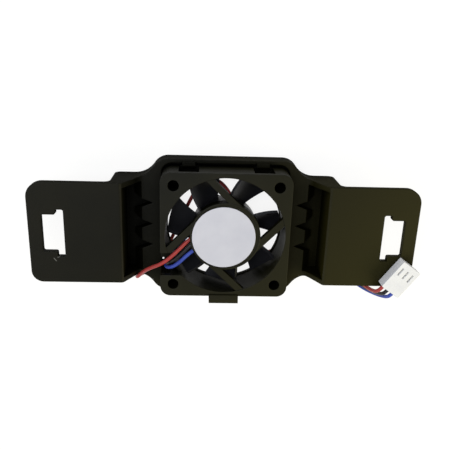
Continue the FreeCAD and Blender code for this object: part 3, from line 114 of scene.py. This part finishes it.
def buildMouldGrain():  # fine grain, slow colour clouds and softened edges
    cloudRange = (0.35, 0.68)
    grainDepth = 0.0001
    tree, given, result = makeGroup("mouldGrain", [
        ("Base", "NodeSocketColor", (0.03, 0.03, 0.03, 1)),
        ("Tint", "NodeSocketColor", (0.05, 0.05, 0.05, 1)),
        ("Grain Size", "NodeSocketFloat", 0.0004),
        ("Cloud Size", "NodeSocketFloat", 0.02),
        ("Bump", "NodeSocketFloat", 0.2),
        ("Round", "NodeSocketFloat", 0.0003),
        ("Rough Low", "NodeSocketFloat", 0.4),
        ("Rough High", "NodeSocketFloat", 0.6),
    ], [
        ("Colour", "NodeSocketColor"),
        ("Roughness", "NodeSocketFloat"),
        ("Normal", "NodeSocketVector"),
    ])
    coords = makeNode(tree, "ShaderNodeTexCoord", (-900, -300))
    grainScale = combine(tree, (-700, -200), "DIVIDE", 1.0, given.outputs["Grain Size"])
    cloudScale = combine(tree, (-700, 200), "DIVIDE", 1.0, given.outputs["Cloud Size"])
    grain = objectNoise(tree, (-450, -200), coords, grainScale, 2.0)
    cloud = objectNoise(tree, (-450, 200), coords, cloudScale, 4.0)
    spread = mapRange(tree, (-200, 200), cloud, cloudRange)
    colour = mixColours(tree, (100, 200), spread, given.outputs["Base"], given.outputs["Tint"])
    rough = mapRange(tree, (100, 0), grain, (0.0, 1.0),
                     (given.outputs["Rough Low"], given.outputs["Rough High"]))
    rounded = makeNode(tree, "ShaderNodeBevel", (-200, -450), samples=6)
    tree.links.new(given.outputs["Round"], rounded.inputs["Radius"])
    bump = makeNode(tree, "ShaderNodeBump", (100, -300))
    bump.inputs["Distance"].default_value = grainDepth
    tree.links.new(rounded.outputs["Normal"], bump.inputs["Normal"])
    tree.links.new(given.outputs["Bump"], bump.inputs["Strength"])
    tree.links.new(grain, bump.inputs["Height"])
    tree.links.new(colour, result.inputs["Colour"])
    tree.links.new(rough, result.inputs["Roughness"])
    tree.links.new(bump.outputs["Normal"], result.inputs["Normal"])
    return tree


def buildEdgeWearAndHighlight():  # paler plastic or metal in patches along the edges: partly wear, partly a painted edge highlight
    edgeTurn = (0.995, 0.85)
    patchScale = 260.0
    patchRange = (0.38, 0.62)
    tree, given, result = makeGroup("edgeWearAndHighlight", [
        ("Colour", "NodeSocketColor", (0.03, 0.03, 0.03, 1)),
        ("Worn", "NodeSocketColor", (0.1, 0.1, 0.1, 1)),
        ("Width", "NodeSocketFloat", 0.0003),
        ("Amount", "NodeSocketFloat", 0.5),
    ], [("Colour", "NodeSocketColor")])
    soft = makeNode(tree, "ShaderNodeBevel", (-600, 200), samples=4)
    tree.links.new(given.outputs["Width"], soft.inputs["Radius"])
    flat = makeNode(tree, "ShaderNodeNewGeometry", (-600, -100))
    turn = makeNode(tree, "ShaderNodeVectorMath", (-400, 100), operation="DOT_PRODUCT")
    tree.links.new(soft.outputs["Normal"], turn.inputs[0])
    tree.links.new(flat.outputs["Normal"], turn.inputs[1])
    edge = mapRange(tree, (-200, 100), turn.outputs["Value"], edgeTurn)
    coords = makeNode(tree, "ShaderNodeTexCoord", (-600, -350))
    patches = objectNoise(tree, (-400, -350), coords, patchScale, 6.0)
    broken = mapRange(tree, (-200, -250), patches, patchRange)
    mask = combine(tree, (50, 0), "MULTIPLY", edge, broken)
    mask = combine(tree, (250, 0), "MULTIPLY", mask, given.outputs["Amount"])
    # edge colour: partly wear, partly a painted highlight on the rounded edges
    colour = mixColours(tree, (500, 150), mask, given.outputs["Colour"], given.outputs["Worn"])
    tree.links.new(colour, result.inputs["Colour"])
    return tree


def buildScuff():  # one short soft-ended mark on a face that looks along Z
    fadeRange = (1.0, 0.4)
    tree, given, result = makeGroup("scuff", [
        ("Place", "NodeSocketVector", None),
        ("Turn", "NodeSocketFloat", 0.0),
        ("Half Length", "NodeSocketFloat", 0.001),
        ("Half Width", "NodeSocketFloat", 0.0001),
    ], [("Mask", "NodeSocketFloat")])
    coords = makeNode(tree, "ShaderNodeTexCoord", (-900, -300))
    shifted = makeNode(tree, "ShaderNodeVectorMath", (-650, 0), operation="SUBTRACT")
    tree.links.new(coords.outputs["Object"], shifted.inputs[0])
    tree.links.new(given.outputs["Place"], shifted.inputs[1])
    turned = makeNode(tree, "ShaderNodeVectorRotate", (-450, 0), rotation_type="Z_AXIS")
    tree.links.new(shifted.outputs["Vector"], turned.inputs["Vector"])
    tree.links.new(given.outputs["Turn"], turned.inputs["Angle"])
    parts = makeNode(tree, "ShaderNodeSeparateXYZ", (-250, 0))
    tree.links.new(turned.outputs["Vector"], parts.inputs["Vector"])
    fades = []
    for axis, reach, height in (("X", "Half Length", 150), ("Y", "Half Width", -100)):
        distance = combine(tree, (-50, height), "ABSOLUTE", parts.outputs[axis])
        share = combine(tree, (150, height), "DIVIDE", distance, given.outputs[reach])
        fade = mapRange(tree, (350, height), share, fadeRange, interpolation_type="SMOOTHSTEP")
        fades.append(fade)
    tree.links.new(combine(tree, (600, 0), "MULTIPLY", *fades), result.inputs["Mask"])
    return tree


def buildPaintedLightAndShade():  # painted light: the colour turns lighter and warmer towards one side, where the light falls, and painted shade darkens the hollows
    hollowRange = (0.35, 0.9)
    hollowShade = (0.25, 1.0)
    tree, given, result = makeGroup("paintedLightAndShade", [
        ("Colour", "NodeSocketColor", (0.03, 0.03, 0.03, 1)),
        ("Faded", "NodeSocketColor", (0.05, 0.05, 0.05, 1)),
        ("Along", "NodeSocketVector", None),
        ("Start", "NodeSocketFloat", 0.0),
        ("Reach", "NodeSocketFloat", 0.012),
    ], [("Colour", "NodeSocketColor"), ("Open", "NodeSocketFloat")])
    coords = makeNode(tree, "ShaderNodeTexCoord", (-900, -300))
    slope = makeNode(tree, "ShaderNodeVectorMath", (-650, 0), operation="DOT_PRODUCT")
    tree.links.new(coords.outputs["Object"], slope.inputs[0])
    tree.links.new(given.outputs["Along"], slope.inputs[1])
    share = makeNode(tree, "ShaderNodeClamp", (-250, 0))
    started = combine(tree, (-450, 0), "ADD", slope.outputs["Value"], given.outputs["Start"])
    tree.links.new(started, share.inputs["Value"])
    # painted light: the colour is mixed towards a lighter, warmer one along one direction
    paintedLightColour = mixColours(tree, (0, 0), share.outputs[0], given.outputs["Colour"], given.outputs["Faded"])
    # painted shade: ambient occlusion darkens the colour, and the gloss, in hollows
    hollow = makeNode(tree, "ShaderNodeAmbientOcclusion", (-250, -300), samples=6)
    tree.links.new(given.outputs["Reach"], hollow.inputs["Distance"])
    opening = mapRange(tree, (0, -300), hollow.outputs["AO"], hollowRange, hollowShade)
    shaded = mixColours(tree, (300, 0), 1.0, paintedLightColour, opening, blend="MULTIPLY")
    tree.links.new(shaded, result.inputs["Colour"])
    tree.links.new(opening, result.inputs["Open"])
    return tree


mouldGrain = buildMouldGrain()
edgeWearAndHighlight = buildEdgeWearAndHighlight()
scuff = buildScuff()
paintedLightAndShade = buildPaintedLightAndShade()

plainMould = dict(
    grainSize=0.0003, cloudSize=0.02, bump=0.25, rough=(0.42, 0.6), soften=0.0003,
    wearAndHighlight=0.5, wearAndHighlightWidth=0.00025, specular=0.35, metallic=0.0,
)
plainMetal = dict(
    grainSize=0.0002, cloudSize=0.004, bump=0.1, rough=(0.25, 0.4), soften=0.0003,
    wearAndHighlight=0.3, wearAndHighlightWidth=0.0001, specular=0.5, metallic=1.0,
)


def newMaterial(name):
    material = bpy.data.materials.new(name)
    material.use_nodes = True
    tree = material.node_tree
    surface = tree.nodes["Principled BSDF"]
    return material, tree, surface


def placeGrain(tree, surface, look):
    grain = placeGroup(tree, mouldGrain, (-700, 0), Base=colourOf(*look["base"]),
                       Tint=colourOf(*look["tint"]), Bump=look["bump"], Grain_Size=look["grainSize"],
                       Cloud_Size=look["cloudSize"], Rough_Low=look["rough"][0],
                       Rough_High=look["rough"][1], Round=look["soften"])
    tree.links.new(grain.outputs["Roughness"], surface.inputs["Roughness"])
    tree.links.new(grain.outputs["Normal"], surface.inputs["Normal"])
    return grain.outputs["Colour"]


def finishMaterial(name, plain, finish):  # metals wear to their tint; the paler edges are partly wear and partly a painted edge highlight
    look = {**plain, **finish}
    material, tree, surface = newMaterial(name)
    colour = placeGrain(tree, surface, look)
    wornAndLitColour = colourOf(*look.get("wornAndLitColour", look["tint"]))
    wornAndLitEdge = placeGroup(tree, edgeWearAndHighlight, (-400, 200), Colour=colour, Worn=wornAndLitColour,
                          Width=look["wearAndHighlightWidth"], Amount=look["wearAndHighlight"])
    tree.links.new(wornAndLitEdge.outputs["Colour"], surface.inputs["Base Color"])
    surface.inputs["Specular IOR Level"].default_value = look["specular"]
    surface.inputs["Metallic"].default_value = look["metallic"]
    if "paintedLightColour" in look:
        addPaintedLightAndShade(tree, surface, look)
    return material


# adds painted light towards one side and painted shade in the hollows, and dims the gloss in the hollows
def addPaintedLightAndShade(tree, surface, look):
    colour = surface.inputs["Base Color"].links[0].from_socket
    paintedLightAndShadeNode = placeGroup(tree, paintedLightAndShade, (-150, 300), Colour=colour, Faded=colourOf(*look["paintedLightColour"]),
                         Along=look["along"], Start=look["start"])
    tree.links.new(paintedLightAndShadeNode.outputs["Colour"], surface.inputs["Base Color"])
    shine = dimAtSlant(tree, look["specular"], look["slant"])
    shine = combine(tree, (-150, -400), "MULTIPLY", shine, paintedLightAndShadeNode.outputs["Open"])
    tree.links.new(shine, surface.inputs["Specular IOR Level"])


def dimAtSlant(tree, straight, slant):  # less gloss on faces that turn away
    slantRange = (0.3, 0.7)
    weight = makeNode(tree, "ShaderNodeLayerWeight", (-700, -400))
    weight.inputs["Blend"].default_value = 0.5
    return mapRange(tree, (-450, -400), weight.outputs["Facing"], slantRange, (straight, slant))


def dress(names, material):
    for name in names:
        for holder in nodes[name].material_slots:
            holder.material = material


# plastics

# the bracket and the fan frame get painted light: lighter and warmer towards the lower right
bracketFinish = dict(
    base=(0.0066, 0.0064, 0.0038), tint=(0.0098, 0.0092, 0.0048), wornAndLitColour=(0.034, 0.033, 0.026),
    paintedLightColour=(0.022, 0.0195, 0.0032), along=(9.0, -8.0, 0.0), start=0.35, specular=0.12, slant=0.004,
    grainSize=0.00035, cloudSize=0.035, bump=0.35, rough=(0.42, 0.6), wearAndHighlight=0.5, soften=0.0006,
)
bracketScratches = dict(
    shade=(0.2, 0.2, 0.18), strength=0.7,
    marks=[
        dict(place=(-0.06557, -0.01075, 0.019), turn=0.9, halfLength=0.0011, halfWidth=0.00022),
        dict(place=(-0.06417, -0.00968, 0.019), turn=-0.35, halfLength=0.0007, halfWidth=0.00016),
    ],
)
fanFinish = dict(
    base=(0.0075, 0.0075, 0.0048), tint=(0.0115, 0.0112, 0.007), wornAndLitColour=(0.036, 0.036, 0.028),
    paintedLightColour=(0.0185, 0.017, 0.004), along=(9.0, -8.0, 0.0), start=0.35, specular=0.15, slant=0.03,
    grainSize=0.00025, cloudSize=0.015, bump=0.25, rough=(0.36, 0.5), wearAndHighlight=0.45, soften=0.0004,
)
impellerFinish = dict(
    base=(0.009, 0.009, 0.0105), tint=(0.013, 0.013, 0.015), wornAndLitColour=(0.04, 0.04, 0.036), specular=0.2,
    grainSize=0.0002, cloudSize=0.008, bump=0.15, rough=(0.32, 0.46), wearAndHighlight=0.35, soften=0.0002,
)
connectorFinish = dict(
    base=(0.88, 0.88, 0.89), tint=(0.82, 0.82, 0.85), wornAndLitColour=(0.92, 0.92, 0.92),
    grainSize=0.0003, cloudSize=0.004, bump=0.1, rough=(0.35, 0.5), wearAndHighlight=0.3,
)
insulatorFinish = dict(base=(0.62, 0.6, 0.5), tint=(0.55, 0.52, 0.42), wornAndLitColour=(0.7, 0.68, 0.6))
chipFinish = dict(base=(0.02, 0.02, 0.022), tint=(0.03, 0.03, 0.033), wornAndLitColour=(0.07, 0.07, 0.07))
capacitorFinish = dict(base=(0.42, 0.3, 0.17), tint=(0.36, 0.25, 0.14), wornAndLitColour=(0.6, 0.5, 0.35))
boardFinish = dict(base=(0.03, 0.16, 0.06), tint=(0.02, 0.12, 0.05), wornAndLitColour=(0.35, 0.3, 0.15))
magnetFinish = dict(base=(0.04, 0.037, 0.034), tint=(0.06, 0.055, 0.05), wornAndLitColour=(0.1, 0.09, 0.08))


def addScratches(material, scratches):
    tree = material.node_tree
    surface = tree.nodes["Principled BSDF"]
    colour = surface.inputs["Base Color"].links[0].from_socket
    for row, mark in enumerate(scratches["marks"]):
        height = 500 + 200 * row
        spot = placeGroup(tree, scuff, (-400, height), Place=mark["place"], Turn=mark["turn"],
                          Half_Length=mark["halfLength"], Half_Width=mark["halfWidth"])
        share = combine(tree, (-200, height), "MULTIPLY", spot.outputs["Mask"], scratches["strength"])
        colour = mixColours(tree, (0, height), share, colour, colourOf(*scratches["shade"]))
    tree.links.new(colour, surface.inputs["Base Color"])


bracketPlastic = finishMaterial("bracketPlastic", plainMould, bracketFinish)
addScratches(bracketPlastic, bracketScratches)
dress(["bracket"], bracketPlastic)
dress(["fan_frame"], finishMaterial("fanPlastic", plainMould, fanFinish))
dress(["impeller"], finishMaterial("impellerPlastic", plainMould, impellerFinish))
dress(["connector_housing"], finishMaterial("connectorPlastic", plainMould, connectorFinish))
dress(["front_insulator", "rear_insulator"],
      finishMaterial("insulatorPlastic", plainMould, insulatorFinish))
dress(["hall_sensor", "driver_chip", "resistor"], finishMaterial("chipResin", plainMould, chipFinish))
dress(["capacitor"], finishMaterial("capacitorCeramic", plainMould, capacitorFinish))
dress(["circuit_board"], finishMaterial("boardLaminate", plainMould, boardFinish))
dress(["ring_magnet"], finishMaterial("magnetFerrite", plainMould, magnetFinish))
print("plastics done")

# metals

brassFinish = dict(base=(0.75, 0.56, 0.27), tint=(0.66, 0.47, 0.2))
shaftFinish = dict(base=(0.62, 0.62, 0.63), tint=(0.55, 0.55, 0.57))
bearingFinish = dict(base=(0.66, 0.67, 0.69), tint=(0.6, 0.6, 0.63), rough=(0.12, 0.25))
coreFinish = dict(base=(0.3, 0.3, 0.32), tint=(0.24, 0.24, 0.26), rough=(0.4, 0.6))
yokeFinish = dict(base=(0.5, 0.5, 0.51), tint=(0.42, 0.42, 0.44), rough=(0.3, 0.5))
coilFinish = dict(base=(0.62, 0.24, 0.1), tint=(0.5, 0.18, 0.07))
solderFinish = dict(base=(0.6, 0.6, 0.6), tint=(0.5, 0.5, 0.51))
terminalFinish = dict(base=(0.7, 0.67, 0.58), tint=(0.6, 0.57, 0.48))

bearingPieces = ["outer_ring", "inner_ring", "balls", "shields"]
bearings = [f"{end}_bearing_{piece}" for end in ("rear", "front") for piece in bearingPieces]
coils = [f"coil_{number}" for number in range(1, 5)]
terminals = [f"crimp_terminal_{number}" for number in range(1, 4)]

dress(["bearing_holder", "shaft_bush"], finishMaterial("turnedBrass", plainMetal, brassFinish))
dress(["shaft", "shaft_clip", "shaft_washer", "preload_spring"],
      finishMaterial("groundSteel", plainMetal, shaftFinish))
dress(bearings, finishMaterial("bearingSteel", plainMetal, bearingFinish))
dress(["stator_core"], finishMaterial("coreSteel", plainMetal, coreFinish))
dress(["rotor_yoke"], finishMaterial("yokeSteel", plainMetal, yokeFinish))
dress(coils, finishMaterial("enamelledCopper", plainMetal, coilFinish))
dress(["solder_joints", "coil_pins"], finishMaterial("solderTin", plainMetal, solderFinish))
dress(terminals, finishMaterial("tinnedBrass", plainMetal, terminalFinish))
print("metals done")

# round label

labelFinish = dict(
    base=(0.63, 0.63, 0.70), tint=(0.58, 0.58, 0.655),
    grainSize=0.0006, cloudSize=0.008, bump=0.06, rough=(0.34, 0.42), soften=0.0003,
)


def labelMaterial(look):
    material, tree, surface = newMaterial("labelFilm")
    tree.links.new(placeGrain(tree, surface, look), surface.inputs["Base Color"])
    return material


dress(["name_label"], labelMaterial(labelFinish))
print("label done")

# leads, each from its solder joint to the plug

leadSettings = dict(diameter=0.0015, sections=6, resolution=12)
insulationFinish = dict(grainSize=0.0008, cloudSize=0.006, bump=0.08, wearAndHighlight=0.0, specular=0.3)

redRoute = [
    (-0.0096, -0.0002, 0.0178), (-0.0122, -0.0009, 0.0178), (-0.0148, -0.0028, 0.018),
    (-0.0176, -0.0056, 0.0188), (-0.0209, -0.0089, 0.0193), (-0.0246, -0.0119, 0.0191),
    (-0.0284, -0.014, 0.0176), (-0.0312, -0.0164, 0.015), (-0.0332, -0.0189, 0.0124),
    (-0.035, -0.0214, 0.0106), (-0.0356, -0.0224, 0.0074), (-0.034, -0.0229, 0.0039),
    (-0.0306, -0.022, 0.0014), (-0.027, -0.018, 0.0009), (-0.0224, -0.0096, 0.0009), (-0.0178, 0.0006, 0.0009),
    (-0.0132, 0.011, 0.0009), (-0.009, 0.017, 0.0009), (-0.0042, 0.0184, 0.0009), (0.0002, 0.0154, 0.0009),
    (0.0048, 0.0078, 0.0009), (0.0092, -0.0024, 0.0009), (0.0126, -0.0102, 0.0009), (0.0164, -0.0138, 0.0009),
    (0.0208, -0.013, 0.0009), (0.025, -0.01, 0.0009), (0.031, -0.0098, 0.0009), (0.0384, -0.0114, 0.0009),
    (0.0454, -0.0118, 0.0009), (0.0496, -0.0148, 0.0009), (0.0528, -0.0182, 0.0016), (0.0556, -0.0208, 0.0044),
    (0.0576, -0.0225, 0.0084), (0.0592, -0.0232, 0.0128), (0.0606, -0.023, 0.017), (0.0616, -0.0221, 0.02),
    (0.06276, -0.02012, 0.02145), (0.06455, -0.01765, 0.02145),
]

blackRoute = [
    (-0.0094, -0.0023, 0.0178), (-0.012, -0.0033, 0.0178), (-0.0146, -0.0055, 0.0179),
    (-0.0177, -0.0089, 0.0179), (-0.021, -0.0118, 0.0173), (-0.0231, -0.0132, 0.0144),
    (-0.0234, -0.0133, 0.0104), (-0.0233, -0.013, 0.0064), (-0.0228, -0.0126, 0.0032),
    (-0.0204, -0.0104, 0.0012), (-0.0168, -0.0046, 0.0009), (-0.0126, 0.0012, 0.0009),
    (-0.0092, 0.0074, 0.0009), (-0.005, 0.0114, 0.0009), (-0.0006, 0.0102, 0.0009), (0.0024, 0.0054, 0.0009),
    (0.0044, -0.0014, 0.0009), (0.007, -0.0084, 0.0009), (0.0108, -0.0144, 0.0009), (0.0154, -0.017, 0.0009),
    (0.0206, -0.0159, 0.0009), (0.0254, -0.0126, 0.0009), (0.0314, -0.0119, 0.0009), (0.0382, -0.0133, 0.0009),
    (0.0444, -0.0137, 0.0009), (0.0486, -0.0166, 0.0009), (0.0526, -0.0204, 0.0012), (0.0564, -0.0234, 0.0038),
    (0.0592, -0.025, 0.0078), (0.0614, -0.0251, 0.012), (0.0629, -0.0245, 0.0162), (0.0639, -0.0233, 0.0197),
    (0.06482, -0.02161, 0.02145), (0.06661, -0.01914, 0.02145),
]

blueRoute = [
    (-0.009, -0.0046, 0.0178), (-0.0116, -0.006, 0.0178), (-0.0148, -0.0086, 0.0179),
    (-0.0178, -0.0118, 0.0179), (-0.0206, -0.014, 0.0172), (-0.0229, -0.0153, 0.0144),
    (-0.0234, -0.0154, 0.0104), (-0.0233, -0.0152, 0.0064), (-0.0226, -0.0148, 0.0032),
    (-0.02, -0.0128, 0.0012), (-0.016, -0.0076, 0.0009), (-0.0114, -0.0028, 0.0009), (-0.0066, 0, 0.0009),
    (-0.0016, -0.0008, 0.0009), (0.0024, -0.0044, 0.0009), (0.0054, -0.0098, 0.0009), (0.0086, -0.015, 0.0009),
    (0.0128, -0.0186, 0.0009), (0.0178, -0.0195, 0.0009), (0.0226, -0.0176, 0.0009), (0.027, -0.0147, 0.0009),
    (0.0322, -0.014, 0.0009), (0.038, -0.0151, 0.0009), (0.0436, -0.0157, 0.0009), (0.048, -0.0186, 0.0009),
    (0.0526, -0.0226, 0.0011), (0.0572, -0.0258, 0.0032), (0.0608, -0.027, 0.0072), (0.0634, -0.0269, 0.0116),
    (0.0651, -0.026, 0.0158), (0.0662, -0.0247, 0.0195), (0.06687, -0.0231, 0.02145),
    (0.06866, -0.02064, 0.02145),
]

redLeadSettings = dict(
    length=0.2023, base=(0.40, 0.045, 0.04), tint=(0.33, 0.035, 0.03), rough=(0.35, 0.45),
    riding=["connector_housing", "crimp_terminal_3"],
)
blackLeadSettings = dict(
    length=0.1663, base=(0.012, 0.012, 0.013), tint=(0.02, 0.02, 0.02), rough=(0.3, 0.4),
    riding=["crimp_terminal_2"],
)
blueLeadSettings = dict(
    length=0.1540, base=(0.045, 0.08, 0.42), tint=(0.035, 0.06, 0.34), rough=(0.35, 0.45),
    riding=["crimp_terminal_1"],
)


def insulationMaterial(name, settings):
    finish = dict(insulationFinish, base=settings["base"], tint=settings["tint"],
                  wornAndLitColour=settings["base"], rough=settings["rough"])
    return finishMaterial(name, plainMould, finish)


def makeLead(name, route, material):
    curve = bpy.data.curves.new(name, "CURVE")
    curve.dimensions = "3D"
    curve.bevel_depth = leadSettings["diameter"] / 2
    curve.bevel_resolution = leadSettings["sections"]
    curve.use_fill_caps = True
    spline = curve.splines.new("NURBS")
    spline.points.add(len(route) - 1)
    for point, place in zip(spline.points, route):
        point.co = (*place, 1.0)
    spline.order_u = 3
    spline.use_endpoint_u = True
    spline.resolution_u = leadSettings["resolution"]
    curve.materials.append(material)
    lead = bpy.data.objects.new(name, curve)
    scene.collection.objects.link(lead)
    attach(lead, "module")
    return lead


redInsulation = insulationMaterial("redInsulation", redLeadSettings)
redLead = makeLead("redLead", redRoute, redInsulation)
blackInsulation = insulationMaterial("blackInsulation", blackLeadSettings)
blackLead = makeLead("blackLead", blackRoute, blackInsulation)
blueInsulation = insulationMaterial("blueInsulation", blueLeadSettings)
blueLead = makeLead("blueLead", blueRoute, blueInsulation)
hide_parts("red_lead")
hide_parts("black_lead")
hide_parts("blue_lead")
print("leads done")

# floor, light and camera

floorSettings = dict(
    size=3.0, colour=(0.93, 0.93, 0.92), seenColour=(0.2, 0.195, 0.18), glow=0.86,
    roughness=0.9, specular=0.1,
)
lampSettings = [
    dict(name="keyLamp", place=(-0.22, 0.25, 0.78), size=0.5, power=2.6, colour=(0.86, 0.91, 1.0)),
    dict(name="fillLamp", place=(0.6, -0.3, 0.4), size=0.5, power=2.8, colour=(1.0, 0.9, 0.5)),
    dict(name="leftLamp", place=(-0.6, -0.25, 0.5), size=0.5, power=1.5, colour=(1.0, 1.0, 1.0)),
]
worldSettings = dict(colour=(0.95, 0.97, 1.0), light=0.42, seen=1.0)
cameraSettings = dict(
    place=(-0.00955, 0.07425, 0.22203), turn=(-18.98, -2.022, 1.79), lens=44.8,
    sensorWidth=36.0, clipStart=0.01,
)


def floorMaterial(settings):  # white where it is seen, plain paper for the light it sends back
    material, tree, surface = newMaterial("floorPaper")
    surface.inputs["Roughness"].default_value = settings["roughness"]
    surface.inputs["Specular IOR Level"].default_value = settings["specular"]
    surface.inputs["Emission Color"].default_value = colourOf(1, 1, 1)
    rays = makeNode(tree, "ShaderNodeLightPath", (-500, -300)).outputs
    mirrored = combine(tree, (-420, -420), "MAXIMUM", rays["Is Glossy Ray"], rays["Is Transmission Ray"])
    viewed = combine(tree, (-330, -300), "MAXIMUM", rays["Is Camera Ray"], mirrored)
    paper = mixColours(tree, (-200, 0), viewed, colourOf(*settings["colour"]),
                       colourOf(*settings["seenColour"]))
    tree.links.new(paper, surface.inputs["Base Color"])
    glow = combine(tree, (-200, -300), "MULTIPLY", viewed, settings["glow"])
    tree.links.new(glow, surface.inputs["Emission Strength"])
    return material


def makeFloor(settings):
    half = settings["size"] / 2
    corners = [(-half, -half, 0), (half, -half, 0), (half, half, 0), (-half, half, 0)]
    mesh = bpy.data.meshes.new("floor")
    mesh.from_pydata(corners, [], [(0, 1, 2, 3)])
    mesh.materials.append(floorMaterial(settings))
    floor = bpy.data.objects.new("floor", mesh)
    scene.collection.objects.link(floor)


def makeLamp(settings):
    lamp = bpy.data.lights.new(settings["name"], "AREA")
    lamp.shape = "DISK"
    lamp.size = settings["size"]
    lamp.energy = settings["power"]
    lamp.color = settings["colour"]
    holder = bpy.data.objects.new(settings["name"], lamp)
    holder.location = settings["place"]
    holder.rotation_euler = (-holder.location).to_track_quat("-Z", "Y").to_euler()
    scene.collection.objects.link(holder)


def makeWorld(settings):
    world = bpy.data.worlds.new("studio")
    world.use_nodes = True
    tree = world.node_tree
    background = tree.nodes["Background"]
    background.inputs["Color"].default_value = colourOf(*settings["colour"])
    rays = makeNode(tree, "ShaderNodeLightPath", (-500, 0)).outputs
    strength = mapRange(tree, (-250, 0), rays["Is Camera Ray"], (0.0, 1.0),
                        (settings["light"], settings["seen"]))
    tree.links.new(strength, background.inputs["Strength"])
    scene.world = world


def makeCamera(settings):
    camera = bpy.data.cameras.new("camera")
    camera.lens = settings["lens"]
    camera.sensor_width = settings["sensorWidth"]
    camera.clip_start = settings["clipStart"]
    holder = bpy.data.objects.new("camera", camera)
    holder.location = settings["place"]
    holder.rotation_euler = Euler([math.radians(angle) for angle in settings["turn"]], "XYZ")
    scene.collection.objects.link(holder)
    scene.camera = holder


makeFloor(floorSettings)
for lampValues in lampSettings:
    makeLamp(lampValues)
makeCamera(cameraSettings)
makeWorld(worldSettings)
scene.view_settings.view_transform = "Standard"
print("studio done")
